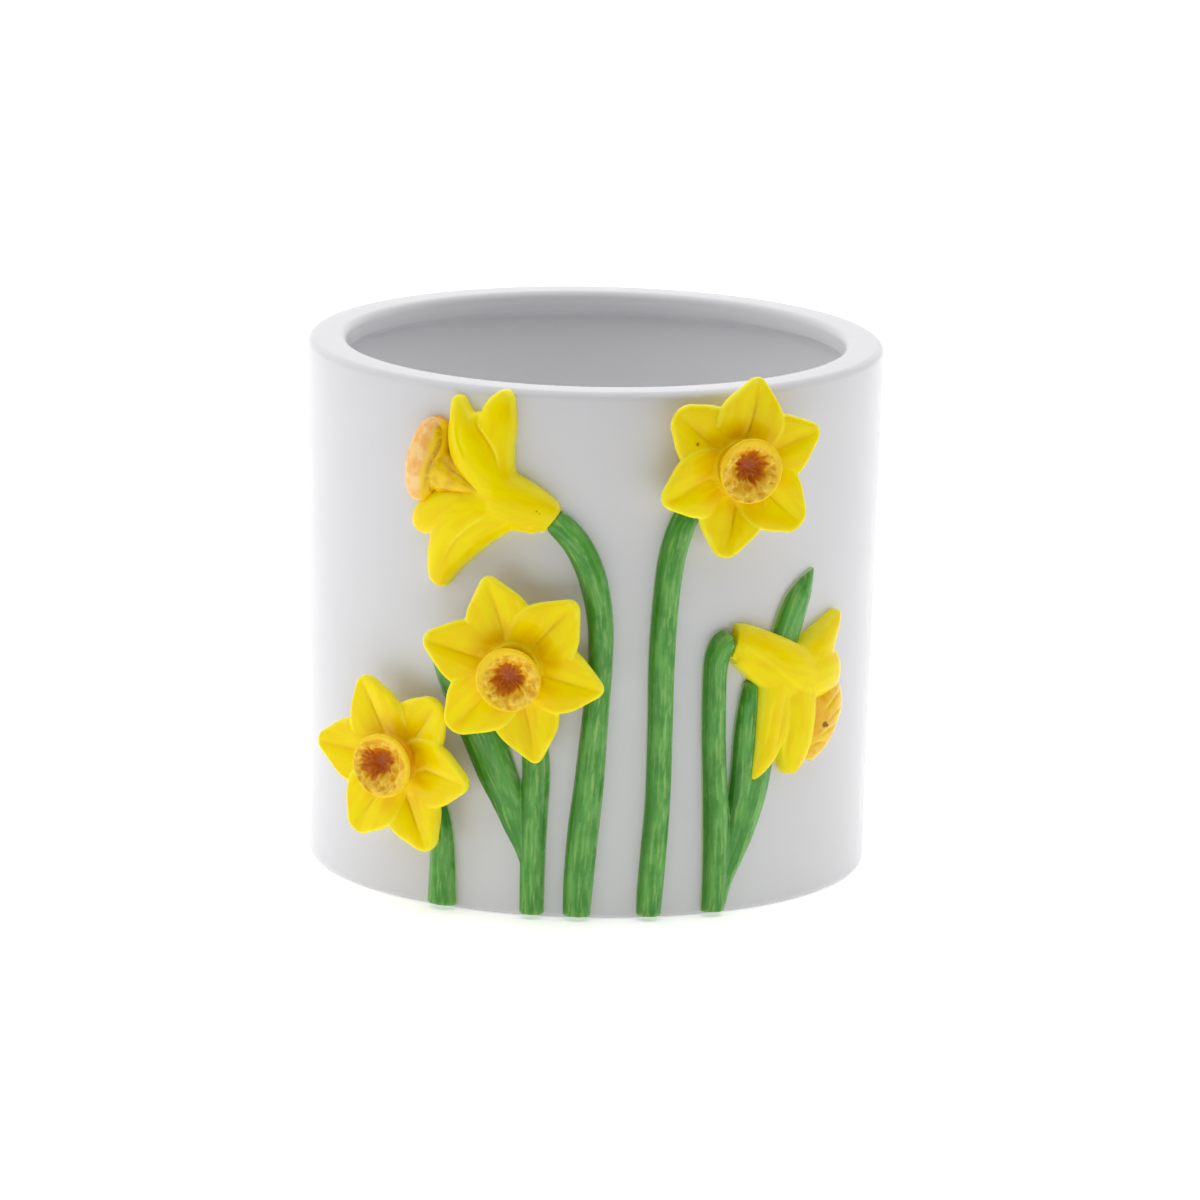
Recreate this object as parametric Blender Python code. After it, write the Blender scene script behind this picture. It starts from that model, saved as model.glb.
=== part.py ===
"""Round white glazed planter with five daffodils in relief on its wall.

Metres, +Z up. The origin is the centre of the flat base, and the front, with the daffodils, faces -Y.
A place on the wall is given on the unrolled wall: along is the distance round it from the front,
towards +X, up is the height above the base, and out is the height above the wall's surface.
"""

import bpy
import bmesh
from math import atan2, cos, pi, radians, sin, sqrt
from mathutils import Matrix, Vector

# The pot
HEIGHT = 0.128
RIM_RADIUS = 0.070
BASE_RADIUS = 0.068
MOUTH_RADIUS = 0.0605
COLLAR_HEIGHT = 0.0050
WALL_THICKNESS = 0.0070
FLOOR_THICKNESS = 0.0060
FLOOR_CORNER = 0.0070
RIM_ROUNDING = 0.0020
BASE_ROUNDING = 0.0012
POT_SEGMENTS = 96
CORNER_STEPS = 3

# The clearance between neighbouring pieces, and how deep a relief starts below the wall before it is trimmed
GAP = 0.0003
SINK = 0.0020
STEM_FOOT = 0.0010

# Stems and leaves: rows of along, up, half width and height above the wall, from the foot upwards
RELIEF_TOP_SIDES = 6
ROUTE_STEPS = 2
STEM_A = (
    (-0.0020, STEM_FOOT, 0.0034, 0.0036),
    (-0.0016, 0.0100, 0.0037, 0.0040),
    (-0.0007, 0.0220, 0.0038, 0.0042),
    (0.0005, 0.0340, 0.0036, 0.0042),
    (0.0016, 0.0490, 0.0032, 0.0042),
    (0.0025, 0.0610, 0.0030, 0.0042),
    (0.0025, 0.0710, 0.0031, 0.0042),
    (0.0014, 0.0791, 0.0033, 0.0042),
    (-0.0005, 0.0857, 0.0034, 0.0042),
    (-0.0033, 0.0913, 0.0034, 0.0042),
    (-0.0065, 0.0951, 0.0033, 0.0040),
    (-0.0096, 0.0976, 0.0030, 0.0038),
)
STEM_B = (
    (-0.0130, STEM_FOOT, 0.0030, 0.0034),
    (-0.0129, 0.0150, 0.0031, 0.0037),
    (-0.0126, 0.0270, 0.0033, 0.0036),
    (-0.0124, 0.0360, 0.0034, 0.0031),
    (-0.0134, 0.0470, 0.0032, 0.0027),
    (-0.0150, 0.0558, 0.0030, 0.0027),
)
LEAF_B = (
    (-0.0127, 0.0080, 0.0016, 0.0024),
    (-0.0149, 0.0162, 0.0022, 0.0026),
    (-0.0172, 0.0222, 0.0031, 0.0028),
    (-0.0194, 0.0286, 0.0042, 0.0030),
    (-0.0220, 0.0345, 0.0050, 0.0032),
    (-0.0258, 0.0432, 0.0054, 0.0032),
    (-0.0305, 0.0516, 0.0050, 0.0030),
    (-0.0345, 0.0580, 0.0040, 0.0028),
    (-0.0375, 0.0630, 0.0026, 0.0024),
    (-0.0395, 0.0675, 0.0008, 0.0016),
)
STEM_C = (
    (0.0156, STEM_FOOT, 0.0030, 0.0036),
    (0.0158, 0.0060, 0.0032, 0.0038),
    (0.0165, 0.0172, 0.0032, 0.0042),
    (0.0172, 0.0300, 0.0031, 0.0042),
    (0.0173, 0.0480, 0.0031, 0.0042),
    (0.0173, 0.0640, 0.0032, 0.0042),
    (0.0180, 0.0784, 0.0032, 0.0042),
    (0.0193, 0.0890, 0.0033, 0.0040),
    (0.0218, 0.0968, 0.0033, 0.0036),
    (0.0250, 0.1016, 0.0031, 0.0032),
    (0.0283, 0.1056, 0.0029, 0.0030),
)
STEM_D = (
    (-0.0363, STEM_FOOT, 0.0040, 0.0036),
    (-0.0362, 0.0070, 0.0036, 0.0036),
    (-0.0362, 0.0132, 0.0033, 0.0034),
    (-0.0366, 0.0194, 0.0030, 0.0032),
    (-0.0380, 0.0245, 0.0029, 0.0030),
    (-0.0411, 0.0299, 0.0028, 0.0028),
)
STEM_E = (
    (0.0322, STEM_FOOT, 0.0031, 0.0034),
    (0.0324, 0.0120, 0.0032, 0.0038),
    (0.0322, 0.0240, 0.0033, 0.0040),
    (0.0316, 0.0340, 0.0031, 0.0040),
    (0.0310, 0.0440, 0.0030, 0.0040),
    (0.0308, 0.0530, 0.0030, 0.0040),
    (0.0308, 0.0590, 0.0030, 0.0040),
    (0.0312, 0.0634, 0.0029, 0.0040),
    (0.0322, 0.0664, 0.0025, 0.0038),
    (0.0340, 0.0682, 0.0023, 0.0036),
)
LEAF_E_SHORT = (
    (0.0342, 0.0080, 0.0020, 0.0024),
    (0.0366, 0.0180, 0.0024, 0.0028),
    (0.0380, 0.0256, 0.0026, 0.0030),
    (0.0387, 0.0310, 0.0028, 0.0032),
    (0.0392, 0.0370, 0.0029, 0.0032),
    (0.0396, 0.0430, 0.0030, 0.0032),
    (0.0400, 0.0480, 0.0028, 0.0030),
    (0.0405, 0.0525, 0.0024, 0.0026),
    (0.0409, 0.0562, 0.0010, 0.0016),
)
LEAF_E_LONG = (
    (0.0332, 0.0020, 0.0022, 0.0026),
    (0.0349, 0.0084, 0.0024, 0.0028),
    (0.0372, 0.0140, 0.0030, 0.0030),
    (0.0399, 0.0210, 0.0038, 0.0030),
    (0.0428, 0.0300, 0.0042, 0.0028),
    (0.0454, 0.0400, 0.0040, 0.0020),
    (0.0478, 0.0500, 0.0040, 0.0018),
    (0.0500, 0.0600, 0.0044, 0.0018),
    (0.0518, 0.0680, 0.0046, 0.0024),
    (0.0541, 0.0736, 0.0042, 0.0026),
    (0.0566, 0.0776, 0.0030, 0.0024),
    (0.0596, 0.0812, 0.0007, 0.0014),
)

# The two flowers seen from the side, in the same rows, from the calyx outwards
CALYX_A = (
    (-0.0094, 0.0968, 0.0032, 0.0042),
    (-0.0113, 0.0984, 0.0050, 0.0052),
    (-0.0150, 0.1001, 0.0062, 0.0062),
    (-0.0192, 0.1016, 0.0070, 0.0068),
    (-0.0240, 0.1025, 0.0072, 0.0068),
)
PETALS_A = (
    # the far petal, up and to the right
    (
        (-0.0192, 0.1026, 0.0042, 0.0050),
        (-0.0211, 0.1085, 0.0034, 0.0052),
        (-0.0227, 0.1145, 0.0036, 0.0050),
        (-0.0236, 0.1200, 0.0048, 0.0046),
        (-0.0223, 0.1243, 0.0044, 0.0040),
        (-0.0196, 0.1277, 0.0013, 0.0026),
    ),
    # the near petal, up beside the trumpet
    (
        (-0.0206, 0.1030, 0.0050, 0.0060),
        (-0.0254, 0.1085, 0.0050, 0.0064),
        (-0.0294, 0.1140, 0.0049, 0.0060),
        (-0.0312, 0.1188, 0.0040, 0.0052),
        (-0.0317, 0.1230, 0.0028, 0.0042),
        (-0.0320, 0.1261, 0.0010, 0.0026),
    ),
    # the low petal, which hangs to its point
    (
        (-0.0190, 0.1002, 0.0054, 0.0062),
        (-0.0245, 0.0976, 0.0060, 0.0064),
        (-0.0300, 0.0938, 0.0066, 0.0060),
        (-0.0340, 0.0888, 0.0058, 0.0054),
        (-0.0365, 0.0836, 0.0039, 0.0044),
        (-0.0380, 0.0785, 0.0013, 0.0028),
    ),
    # the small petal below the trumpet's mouth
    (
        (-0.0280, 0.0980, 0.0038, 0.0052),
        (-0.0350, 0.0970, 0.0048, 0.0052),
        (-0.0404, 0.0953, 0.0046, 0.0042),
        (-0.0441, 0.0940, 0.0020, 0.0028),
    ),
)
TRUMPET_A = (
    (-0.0262, 0.1040, 0.0008, 0.0064),
    (-0.0310, 0.1054, 0.0027, 0.0068),
    (-0.0352, 0.1068, 0.0044, 0.0066),
    (-0.0382, 0.1078, 0.0056, 0.0060),
)
MOUTH_A = (
    (-0.0424, 0.0998, 0.0020, 0.0050),
    (-0.0418, 0.1028, 0.0042, 0.0066),
    (-0.0407, 0.1072, 0.0051, 0.0074),
    (-0.0394, 0.1118, 0.0051, 0.0074),
    (-0.0384, 0.1160, 0.0040, 0.0066),
    (-0.0378, 0.1188, 0.0018, 0.0050),
)
CALYX_E = (
    (0.0353, 0.0672, 0.0029, 0.0042),
    (0.0374, 0.0663, 0.0044, 0.0054),
    (0.0408, 0.0643, 0.0056, 0.0062),
    (0.0455, 0.0616, 0.0070, 0.0068),
    (0.0510, 0.0588, 0.0076, 0.0072),
    (0.0565, 0.0568, 0.0066, 0.0068),
)
PETALS_E = (
    # the top petal, up and to the right
    (
        (0.0525, 0.0592, 0.0056, 0.0062),
        (0.0585, 0.0622, 0.0050, 0.0058),
        (0.0634, 0.0656, 0.0038, 0.0048),
        (0.0670, 0.0688, 0.0022, 0.0038),
        (0.0696, 0.0708, 0.0007, 0.0026),
    ),
    # the near petal, which ends in a blunt edge over the trumpet
    (
        (0.0525, 0.0570, 0.0060, 0.0066),
        (0.0580, 0.0568, 0.0062, 0.0068),
        (0.0636, 0.0564, 0.0058, 0.0062),
        (0.0682, 0.0562, 0.0046, 0.0048),
    ),
    # the low petal on the left
    (
        (0.0474, 0.0580, 0.0050, 0.0062),
        (0.0461, 0.0510, 0.0041, 0.0058),
        (0.0457, 0.0450, 0.0041, 0.0054),
        (0.0447, 0.0400, 0.0037, 0.0050),
        (0.0427, 0.0355, 0.0025, 0.0042),
        (0.0407, 0.0324, 0.0008, 0.0030),
    ),
    # the low petal on the right
    (
        (0.0532, 0.0560, 0.0054, 0.0066),
        (0.0542, 0.0490, 0.0052, 0.0064),
        (0.0544, 0.0430, 0.0050, 0.0060),
        (0.0539, 0.0370, 0.0039, 0.0050),
        (0.0529, 0.0316, 0.0011, 0.0034),
    ),
)
TRUMPET_E = (
    (0.0585, 0.0505, 0.0054, 0.0050),
    (0.0612, 0.0458, 0.0070, 0.0056),
    (0.0640, 0.0412, 0.0088, 0.0054),
    (0.0658, 0.0388, 0.0086, 0.0040),
)

# The three flowers that face out: where they sit, how far they swing to the right and nod, in degrees,
# and each petal's bearing from the top, its reach and how far it lies over its neighbours, from 0 to 1
BLOOMS = {
    "b": {
        "along": -0.0171, "up": 0.0627, "swing": 4.0, "nod": 4.0,
        "petals": (
            (-17, 0.0226, 0.0), (46, 0.0227, 1.0), (100, 0.0226, 0.6),
            (166, 0.0237, 0.0), (225, 0.0228, 0.5), (284, 0.0223, 0.4),
        ),
    },
    "c": {
        "along": 0.0332, "up": 0.1108, "swing": -6.0, "nod": 0.0,
        "petals": (
            (11, 0.0220, 1.0), (72, 0.0212, 0.3), (132, 0.0228, 0.7),
            (189, 0.0221, 0.3), (254, 0.0209, 0.6), (311, 0.0222, 0.0),
        ),
    },
    "d": {
        "along": -0.0457, "up": 0.0354, "swing": 0.0, "nod": 0.0,
        "petals": (
            (-26, 0.0220, 1.0), (36, 0.0211, 0.0), (93, 0.0230, 0.6),
            (155, 0.0226, 0.2), (215, 0.0226, 0.6), (275, 0.0238, 0.0),
        ),
    },
}
PETAL_CLEARANCE = 0.0044
PETAL_THICKNESS = 0.0026
PETAL_LAYER = 0.0009
PETAL_RISE = 0.0014
PETAL_CUP = 0.0011
PETAL_GROOVE = 0.0006
PETAL_SPREAD = 0.0190
PETAL_TIP = 0.0008
PETAL_START = 0.12
PETAL_ROWS = 7
PETAL_COLUMNS = 6
FOOT_RADIUS = 0.0066
FOOT_TOP = 0.0086
FOOT_SIDES = 24

# The cup in the middle of those flowers, as radius and height above its own base, from the base outwards
CORONA_PROFILE = (
    (0.0, 0.0),
    (0.0056, 0.0),
    (0.0058, 0.0014),
    (0.0065, 0.0034),
    (0.0073, 0.0048),
    (0.0075, 0.0055),
    (0.0070, 0.0060),
    (0.0060, 0.0056),
    (0.0043, 0.0042),
    (0.0032, 0.0030),
    (0.0, 0.0026),
)
CORONA_SEGMENTS = 36
CORONA_RUFFLES = 12
RUFFLE_WIDTH = 0.035
RUFFLE_HEIGHT = 0.0002

# Linear colours
GLAZE_WHITE = (0.80, 0.80, 0.81)
PETAL_YELLOW = (0.87, 0.66, 0.01)
CORONA_ORANGE = (0.83, 0.38, 0.04)
LEAF_GREEN = (0.05, 0.25, 0.06)
GLAZE_ROUGHNESS = 0.18


def clear_scene():
    for thing in list(bpy.data.objects):
        bpy.data.objects.remove(thing, do_unlink=True)


def material(name, colour):
    paint = bpy.data.materials.new(name)
    paint.use_nodes = True
    shader = paint.node_tree.nodes["Principled BSDF"]
    shader.inputs["Base Color"].default_value = (*colour, 1.0)
    shader.inputs["Roughness"].default_value = GLAZE_ROUGHNESS
    shader.inputs["Metallic"].default_value = 0.0
    return paint


def object_from(name, bm, paint=None):
    """Makes an object of the mesh, shaded smooth where it is smooth."""
    bmesh.ops.recalc_face_normals(bm, faces=bm.faces[:])
    mesh = bpy.data.meshes.new(name)
    bm.to_mesh(mesh)
    bm.free()
    mesh.shade_smooth()
    mesh.set_sharp_from_angle(angle=radians(40))
    if paint:
        mesh.materials.append(paint)
    piece = bpy.data.objects.new(name, mesh)
    bpy.context.scene.collection.objects.link(piece)
    return piece


def wall_radius(up):
    return BASE_RADIUS + (RIM_RADIUS - BASE_RADIUS) * up / HEIGHT


def on_wall(along, up, out):
    """The point that lies out above the wall's surface, at a place on the unrolled wall."""
    turn = along / RIM_RADIUS
    reach = wall_radius(up) + out
    return Vector((reach * sin(turn), -reach * cos(turn), up))


def arc(centre, radius, start, end):
    """Points of a rounded corner in the turned profile, with angles in degrees from +X."""
    step = (end - start) / CORNER_STEPS
    angles = [radians(start + step * i) for i in range(CORNER_STEPS + 1)]
    return [(centre[0] + radius * cos(a), centre[1] + radius * sin(a)) for a in angles]


def spun(profile, segments):
    """A closed solid turned about Z from a profile of radius and height that starts and ends on the axis."""
    bm = bmesh.new()
    verts = [bm.verts.new((r, 0.0, z)) for r, z in profile]
    edges = [bm.edges.new(pair) for pair in zip(verts, verts[1:])]
    bmesh.ops.spin(
        bm, geom=verts + edges, cent=(0, 0, 0), axis=(0, 0, 1),
        angle=2 * pi, steps=segments, use_merge=True,
    )
    bmesh.ops.remove_doubles(bm, verts=bm.verts[:], dist=1e-6)
    return bm


def pot_profile():
    """The pot's section, from the middle of its base round the wall to the middle of its floor."""
    r = RIM_ROUNDING
    b = BASE_ROUNDING
    f = FLOOR_CORNER
    collar_foot = HEIGHT - COLLAR_HEIGHT
    inner_low = BASE_RADIUS - WALL_THICKNESS
    inner_high = wall_radius(collar_foot) - WALL_THICKNESS
    points = [(0.0, 0.0)]
    points += arc((BASE_RADIUS - b, b), b, -90, 0)
    points += arc((RIM_RADIUS - r, HEIGHT - r), r, 0, 90)
    points += arc((MOUTH_RADIUS + r, HEIGHT - r), r, 90, 180)
    points += [(MOUTH_RADIUS, collar_foot)]
    points += [(inner_high, collar_foot - (inner_high - MOUTH_RADIUS) / 2)]
    points += arc((inner_low - f, FLOOR_THICKNESS + f), f, 0, -90)
    points += [(0.0, FLOOR_THICKNESS)]
    return points


def pot_body(paint):
    return object_from("pot_body", spun(pot_profile(), POT_SEGMENTS), paint)


def wall_cutter():
    """A guide of the pot's outside plus the clearance, which trims the back of every relief."""
    rise = (RIM_RADIUS - BASE_RADIUS) / HEIGHT
    margin = 0.01
    low = (BASE_RADIUS - margin * rise + GAP, -margin)
    high = (RIM_RADIUS + margin * rise + GAP, HEIGHT + margin)
    bm = spun([(0.0, low[1]), low, high, (0.0, high[1])], POT_SEGMENTS)
    cutter = object_from("wall_guide", bm)
    cutter.hide_render = True
    cutter.display_type = "WIRE"
    return cutter


def smooth_route(rows):
    """Rows along a curve through the given rows, with a few of them for each stretch."""
    rows = [Vector(row) for row in rows]
    ends = [2 * rows[0] - rows[1]] + rows + [2 * rows[-1] - rows[-2]]
    found = []
    for a, b, c, d in zip(ends, ends[1:], ends[2:], ends[3:]):
        for i in range(ROUTE_STEPS):
            t = i / ROUTE_STEPS
            bend = (2 * a - 5 * b + 4 * c - d) * t**2 + (3 * b - a - 3 * c + d) * t**3
            found.append((2 * b + (c - a) * t + bend) / 2)
    return found + [rows[-1]]


def section(row, side, grow):
    """One section of a relief: a rounded top over a foot that reaches below the wall's surface."""
    along, up, half, high = row
    half += grow
    high += grow
    places = []
    for i in range(RELIEF_TOP_SIDES + 1):
        a = pi * i / RELIEF_TOP_SIDES
        places.append((half * cos(a), high * sin(a)))
    places += [(-half, -SINK), (half, -SINK)]
    return [on_wall(along + side[0] * x, up + side[1] * x, out) for x, out in places]


def relief(name, rows, grow=0.0):
    """A rounded ridge swept along rows on the wall. grow makes it larger all round, for a clearance."""
    route = smooth_route(rows)
    rings = []
    for i, row in enumerate(route):
        ahead = route[min(i + 1, len(route) - 1)]
        behind = route[max(i - 1, 0)]
        way = (ahead - behind).to_2d().normalized()
        if grow and i in (0, len(route) - 1):
            row = row.copy()
            row[0] += way[0] * (grow if i else -grow)
            row[1] += way[1] * (grow if i else -grow)
        rings.append(section(row, (way[1], -way[0]), grow))
    bm = bmesh.new()
    loops = [[bm.verts.new(place) for place in ring] for ring in rings]
    for near, far in zip(loops, loops[1:]):
        for i in range(len(near)):
            bm.faces.new((near[i - 1], near[i], far[i], far[i - 1]))
    bm.faces.new(loops[0])
    bm.faces.new(loops[-1])
    return object_from(name, bm)


def fused(name, pieces, cutters, paint):
    """Joins pieces into one solid by a Boolean union, cuts the cutters off it, and applies both."""
    base = pieces[0]
    base.name = name
    others = pieces[1:]
    group = bpy.data.collections.new(name + "_parts")
    if others:
        bpy.context.scene.collection.children.link(group)
        for piece in others:
            group.objects.link(piece)
            bpy.context.scene.collection.objects.unlink(piece)
        join = base.modifiers.new("join", "BOOLEAN")
        join.operation = "UNION"
        join.operand_type = "COLLECTION"
        join.collection = group
    for cutter in cutters:
        cut = base.modifiers.new("trim", "BOOLEAN")
        cut.operation = "DIFFERENCE"
        cut.object = cutter
    graph = bpy.context.evaluated_depsgraph_get()
    mesh = bpy.data.meshes.new_from_object(base.evaluated_get(graph))
    base.modifiers.clear()
    base.data = mesh
    mesh.name = name
    mesh.materials.clear()
    mesh.materials.append(paint)
    for piece in others:
        bpy.data.objects.remove(piece, do_unlink=True)
    bpy.data.collections.remove(group)
    return base


def bloom_frame(bloom):
    """A flower's own frame: X to the right, Y up and Z out of the wall, turned by its swing and nod."""
    turn = bloom["along"] / RIM_RADIUS
    facing = Matrix.Rotation(turn, 4, "Z") @ Matrix.Rotation(radians(90), 4, "X")
    lean = Matrix.Rotation(radians(bloom["swing"]), 4, "Y") @ Matrix.Rotation(radians(bloom["nod"]), 4, "X")
    return Matrix.Translation(on_wall(bloom["along"], bloom["up"], 0.0)) @ facing @ lean


def petal_half_width(t):
    """Half the petal's width at the share t of its reach: widest before the middle, drawn in to the tip."""
    return max(PETAL_SPREAD * sqrt(t) * (1 - t) ** 0.72, PETAL_TIP)


def petal_top(t, s, layer):
    """The height of the petal's face at t along it and s across it, from -1 to 1."""
    base = PETAL_CLEARANCE + PETAL_THICKNESS + PETAL_LAYER * layer
    groove = PETAL_GROOVE * max(0.0, 1 - 3 * abs(s)) * sin(pi * t)
    return base + PETAL_RISE * t * t + PETAL_CUP * s * s * sin(pi * t) - groove


def petal(bearing, reach, layer):
    """One thick cupped petal, as a grid that is laid out as the petal's face and extruded to its back."""
    bm = bmesh.new()
    bmesh.ops.create_grid(bm, x_segments=PETAL_COLUMNS, y_segments=PETAL_ROWS, size=1)
    turn = Matrix.Rotation(-radians(bearing), 3, "Z")
    for vert in bm.verts:
        t = PETAL_START + (1 - PETAL_START) * (vert.co.y + 1) / 2
        s = vert.co.x
        vert.co = turn @ Vector((s * petal_half_width(t), t * reach, petal_top(t, s, layer)))
    new = bmesh.ops.extrude_face_region(bm, geom=bm.faces[:])["geom"]
    back = [g for g in new if isinstance(g, bmesh.types.BMVert)]
    bmesh.ops.translate(bm, verts=back, vec=(0, 0, -PETAL_THICKNESS))
    return object_from("petal", bm)


def foot():
    """The round foot that carries a flower off the wall."""
    bm = bmesh.new()
    height = FOOT_TOP + SINK
    middle = Matrix.Translation((0, 0, height / 2 - SINK))
    bmesh.ops.create_cone(
        bm, cap_ends=True, segments=FOOT_SIDES,
        radius1=FOOT_RADIUS, radius2=FOOT_RADIUS, depth=height, matrix=middle,
    )
    return object_from("foot", bm)


def bloom_petals(letter, bloom, cutter, paint):
    """A flower's six petals on their foot."""
    place = bloom_frame(bloom)
    pieces = [foot()]
    pieces += [petal(bearing, reach, layer) for bearing, reach, layer in bloom["petals"]]
    for piece in pieces:
        piece.matrix_world = place
    bpy.context.view_layer.update()
    return fused("petals_" + letter, pieces, [cutter], paint)


def bloom_corona(letter, bloom, paint):
    """The ruffled cup in the middle of a flower, which sits on its foot."""
    bm = spun(CORONA_PROFILE, CORONA_SEGMENTS)
    lip = max(r for r, z in CORONA_PROFILE)
    for vert in bm.verts:
        r = vert.co.to_2d().length
        wave = cos(CORONA_RUFFLES * atan2(vert.co.y, vert.co.x)) * (r / lip) ** 4
        vert.co.x *= 1 + RUFFLE_WIDTH * wave
        vert.co.y *= 1 + RUFFLE_WIDTH * wave
        if vert.co.z > 0:
            vert.co.z += RUFFLE_HEIGHT * wave
    cup = object_from("corona_" + letter, bm, paint)
    cup.matrix_world = bloom_frame(bloom) @ Matrix.Translation((0, 0, FOOT_TOP + GAP))
    return cup


def stems_and_leaves(cutter, paint):
    """The greens, each a stem alone or a stem with the leaves that grow from its foot."""
    plan = {
        "stem_a": (STEM_A,),
        "leafy_stem_b": (STEM_B, LEAF_B),
        "stem_c": (STEM_C,),
        "stem_d": (STEM_D,),
        "leafy_stem_e": (STEM_E, LEAF_E_SHORT, LEAF_E_LONG),
    }
    for name, routes in plan.items():
        pieces = [relief("green", rows) for rows in routes]
        fused(name, pieces, [cutter], paint)


def side_flower(letter, calyx, petals, trumpet, behind, cutter, yellow, orange):
    """A flower seen from its side: calyx and petals in one solid, and the trumpet in another.

    behind holds the stem and leaves that pass under it, which it clears.
    """
    room = [relief("room", rows, grow=GAP) for rows in trumpet + behind]
    pieces = [relief("blade", rows) for rows in (calyx,) + petals]
    fused("petals_" + letter, pieces, [cutter] + room, yellow)
    for piece in room:
        bpy.data.objects.remove(piece, do_unlink=True)
    pieces = [relief("blade", rows) for rows in trumpet]
    room = [relief("room", rows, grow=GAP) for rows in behind]
    fused("corona_" + letter, pieces, [cutter] + room, orange)
    for piece in room:
        bpy.data.objects.remove(piece, do_unlink=True)


def build():
    clear_scene()
    white = material("white_glaze", GLAZE_WHITE)
    yellow = material("yellow_glaze", PETAL_YELLOW)
    orange = material("orange_glaze", CORONA_ORANGE)
    green = material("green_glaze", LEAF_GREEN)
    pot_body(white)
    cutter = wall_cutter()
    stems_and_leaves(cutter, green)
    for letter, bloom in BLOOMS.items():
        bloom_petals(letter, bloom, cutter, yellow)
        bloom_corona(letter, bloom, orange)
    greens_e = (STEM_E, LEAF_E_LONG, LEAF_E_SHORT)
    side_flower("a", CALYX_A, PETALS_A, (TRUMPET_A, MOUTH_A), (STEM_A,), cutter, yellow, orange)
    side_flower("e", CALYX_E, PETALS_E, (TRUMPET_E,), greens_e, cutter, yellow, orange)


build()
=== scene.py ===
"""Looks of a round white glazed planter with five painted daffodils in relief on its wall.

The scene is in metres, +Z up, and the front faces -Y. Sizes and tables of the pot and its reliefs are in
millimetres, and those of the camera and the studio in metres. A relief is modelled on the unrolled wall, as
along, up and out, or in its flower's own frame, and is then put in place.
"""

from math import cos, pi, radians, sin

import bmesh
import bpy
import numpy as np
from mathutils import Matrix, Vector, noise


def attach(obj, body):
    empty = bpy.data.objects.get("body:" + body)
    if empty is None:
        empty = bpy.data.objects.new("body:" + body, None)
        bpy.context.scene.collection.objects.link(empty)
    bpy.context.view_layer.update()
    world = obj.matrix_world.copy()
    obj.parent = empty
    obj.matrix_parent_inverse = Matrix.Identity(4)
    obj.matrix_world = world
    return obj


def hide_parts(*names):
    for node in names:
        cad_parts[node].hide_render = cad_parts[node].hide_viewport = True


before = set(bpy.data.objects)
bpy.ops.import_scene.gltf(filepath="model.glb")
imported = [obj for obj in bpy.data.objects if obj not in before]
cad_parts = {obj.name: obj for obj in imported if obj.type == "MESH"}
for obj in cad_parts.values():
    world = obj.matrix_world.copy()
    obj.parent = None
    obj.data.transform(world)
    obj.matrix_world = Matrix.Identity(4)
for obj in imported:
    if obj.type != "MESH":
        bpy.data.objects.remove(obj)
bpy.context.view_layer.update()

MM = 0.001

# The pot
HEIGHT = 128.0
RIM_RADIUS = 70.0
BASE_RADIUS = 68.0
MOUTH_RADIUS = 60.5
COLLAR_HEIGHT = 5.0
WALL_THICKNESS = 7.0
FLOOR_THICKNESS = 6.0
FLOOR_CORNER = 7.0
RIM_ROUNDING = 2.0
BASE_ROUNDING = 1.2

# Below the collar inside the rim: points of its lower edge, as out from its face and down from its foot, and
# of its underside, as in from the wall and down from the same foot
COLLAR_EDGE = ((0.0, -0.5), (0.3, 0.0))
COLLAR_UNDER = ((0.5, 0.9), (0.0, 1.6))

# How finely the pot is turned, the rings in the middle of its base and its floor, as shares of the base's
# radius, and how close points of a turned solid are when they are merged
POT_SEGMENTS = 256
CORNER_STEPS = 10
WALL_STEPS = 12
BASE_RING = 0.5
FLOOR_RING = 0.4
MERGE_DISTANCE = 1e-4

# How far reliefs reach below the wall's surface, how finely they are skinned, and how many rounds soften
# their edges, melt their faces together, and find their edges and their hollows. A round takes a vertex a
# share of the way to its neighbours' mean, and the melting sets in between two heights above the wall
SINK = 1.6
SKIN = 0.29
SOFTEN_PETALS = 5
SOFTEN_GREENS = 4
SOFTEN_CORONA = 3
MELT_GREENS = 22
MELT_FLOWERS = 119
EDGE_ROUNDS = 5
HOLLOW_ROUNDS = 67
EVEN_SHARE = 0.5
MELT_ABOVE = 1.2
MELT_FULL = 3.2

# Between which shares of facing straight out a vertex begins to count as facing out, and counts in full
FACING_RELIEF = (0.1, 0.6)
FACING_PETALS = (0.2, 0.7)
FACING_CUP = (0.1, 0.5)

# A relief's ridges: how gently they fall to their sides, how round their ends are at most, how many faces
# they have across and from row to row, the step that gives their direction, and how many parts of a row's
# step are searched for the nearest point
STEM_FALL = 0.8
PETAL_FALL = 0.55
ROUNDEST_END = 1.8
RIDGE_SIDES = 26
ROUTE_STEPS = 10
WAY_STEP = 0.01
ROUTE_PARTS = 16

# Stems and leaves: rows of along, up, half width and height above the wall, from the foot upwards
STEM_A = (
    (-2.0, 1.0, 3.4, 3.6), (-1.6, 10.0, 3.7, 4.0), (-0.7, 22.0, 3.8, 4.2), (0.5, 34.0, 3.6, 4.2),
    (1.6, 49.0, 3.2, 4.2), (2.5, 61.0, 3.0, 4.2), (2.5, 71.0, 3.1, 4.2), (1.4, 79.1, 3.3, 4.2),
    (-0.5, 85.7, 3.4, 4.2), (-3.3, 91.3, 3.4, 4.2), (-6.5, 95.1, 3.3, 4.0), (-9.6, 97.6, 3.0, 3.8),
)
STEM_B = (
    (-13.0, 1.0, 3.0, 3.4), (-12.9, 15.0, 3.1, 3.7), (-12.6, 27.0, 3.3, 3.6),
    (-12.4, 36.0, 3.4, 3.1), (-13.4, 47.0, 3.2, 2.7), (-15.0, 55.8, 3.0, 2.7),
)
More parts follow.
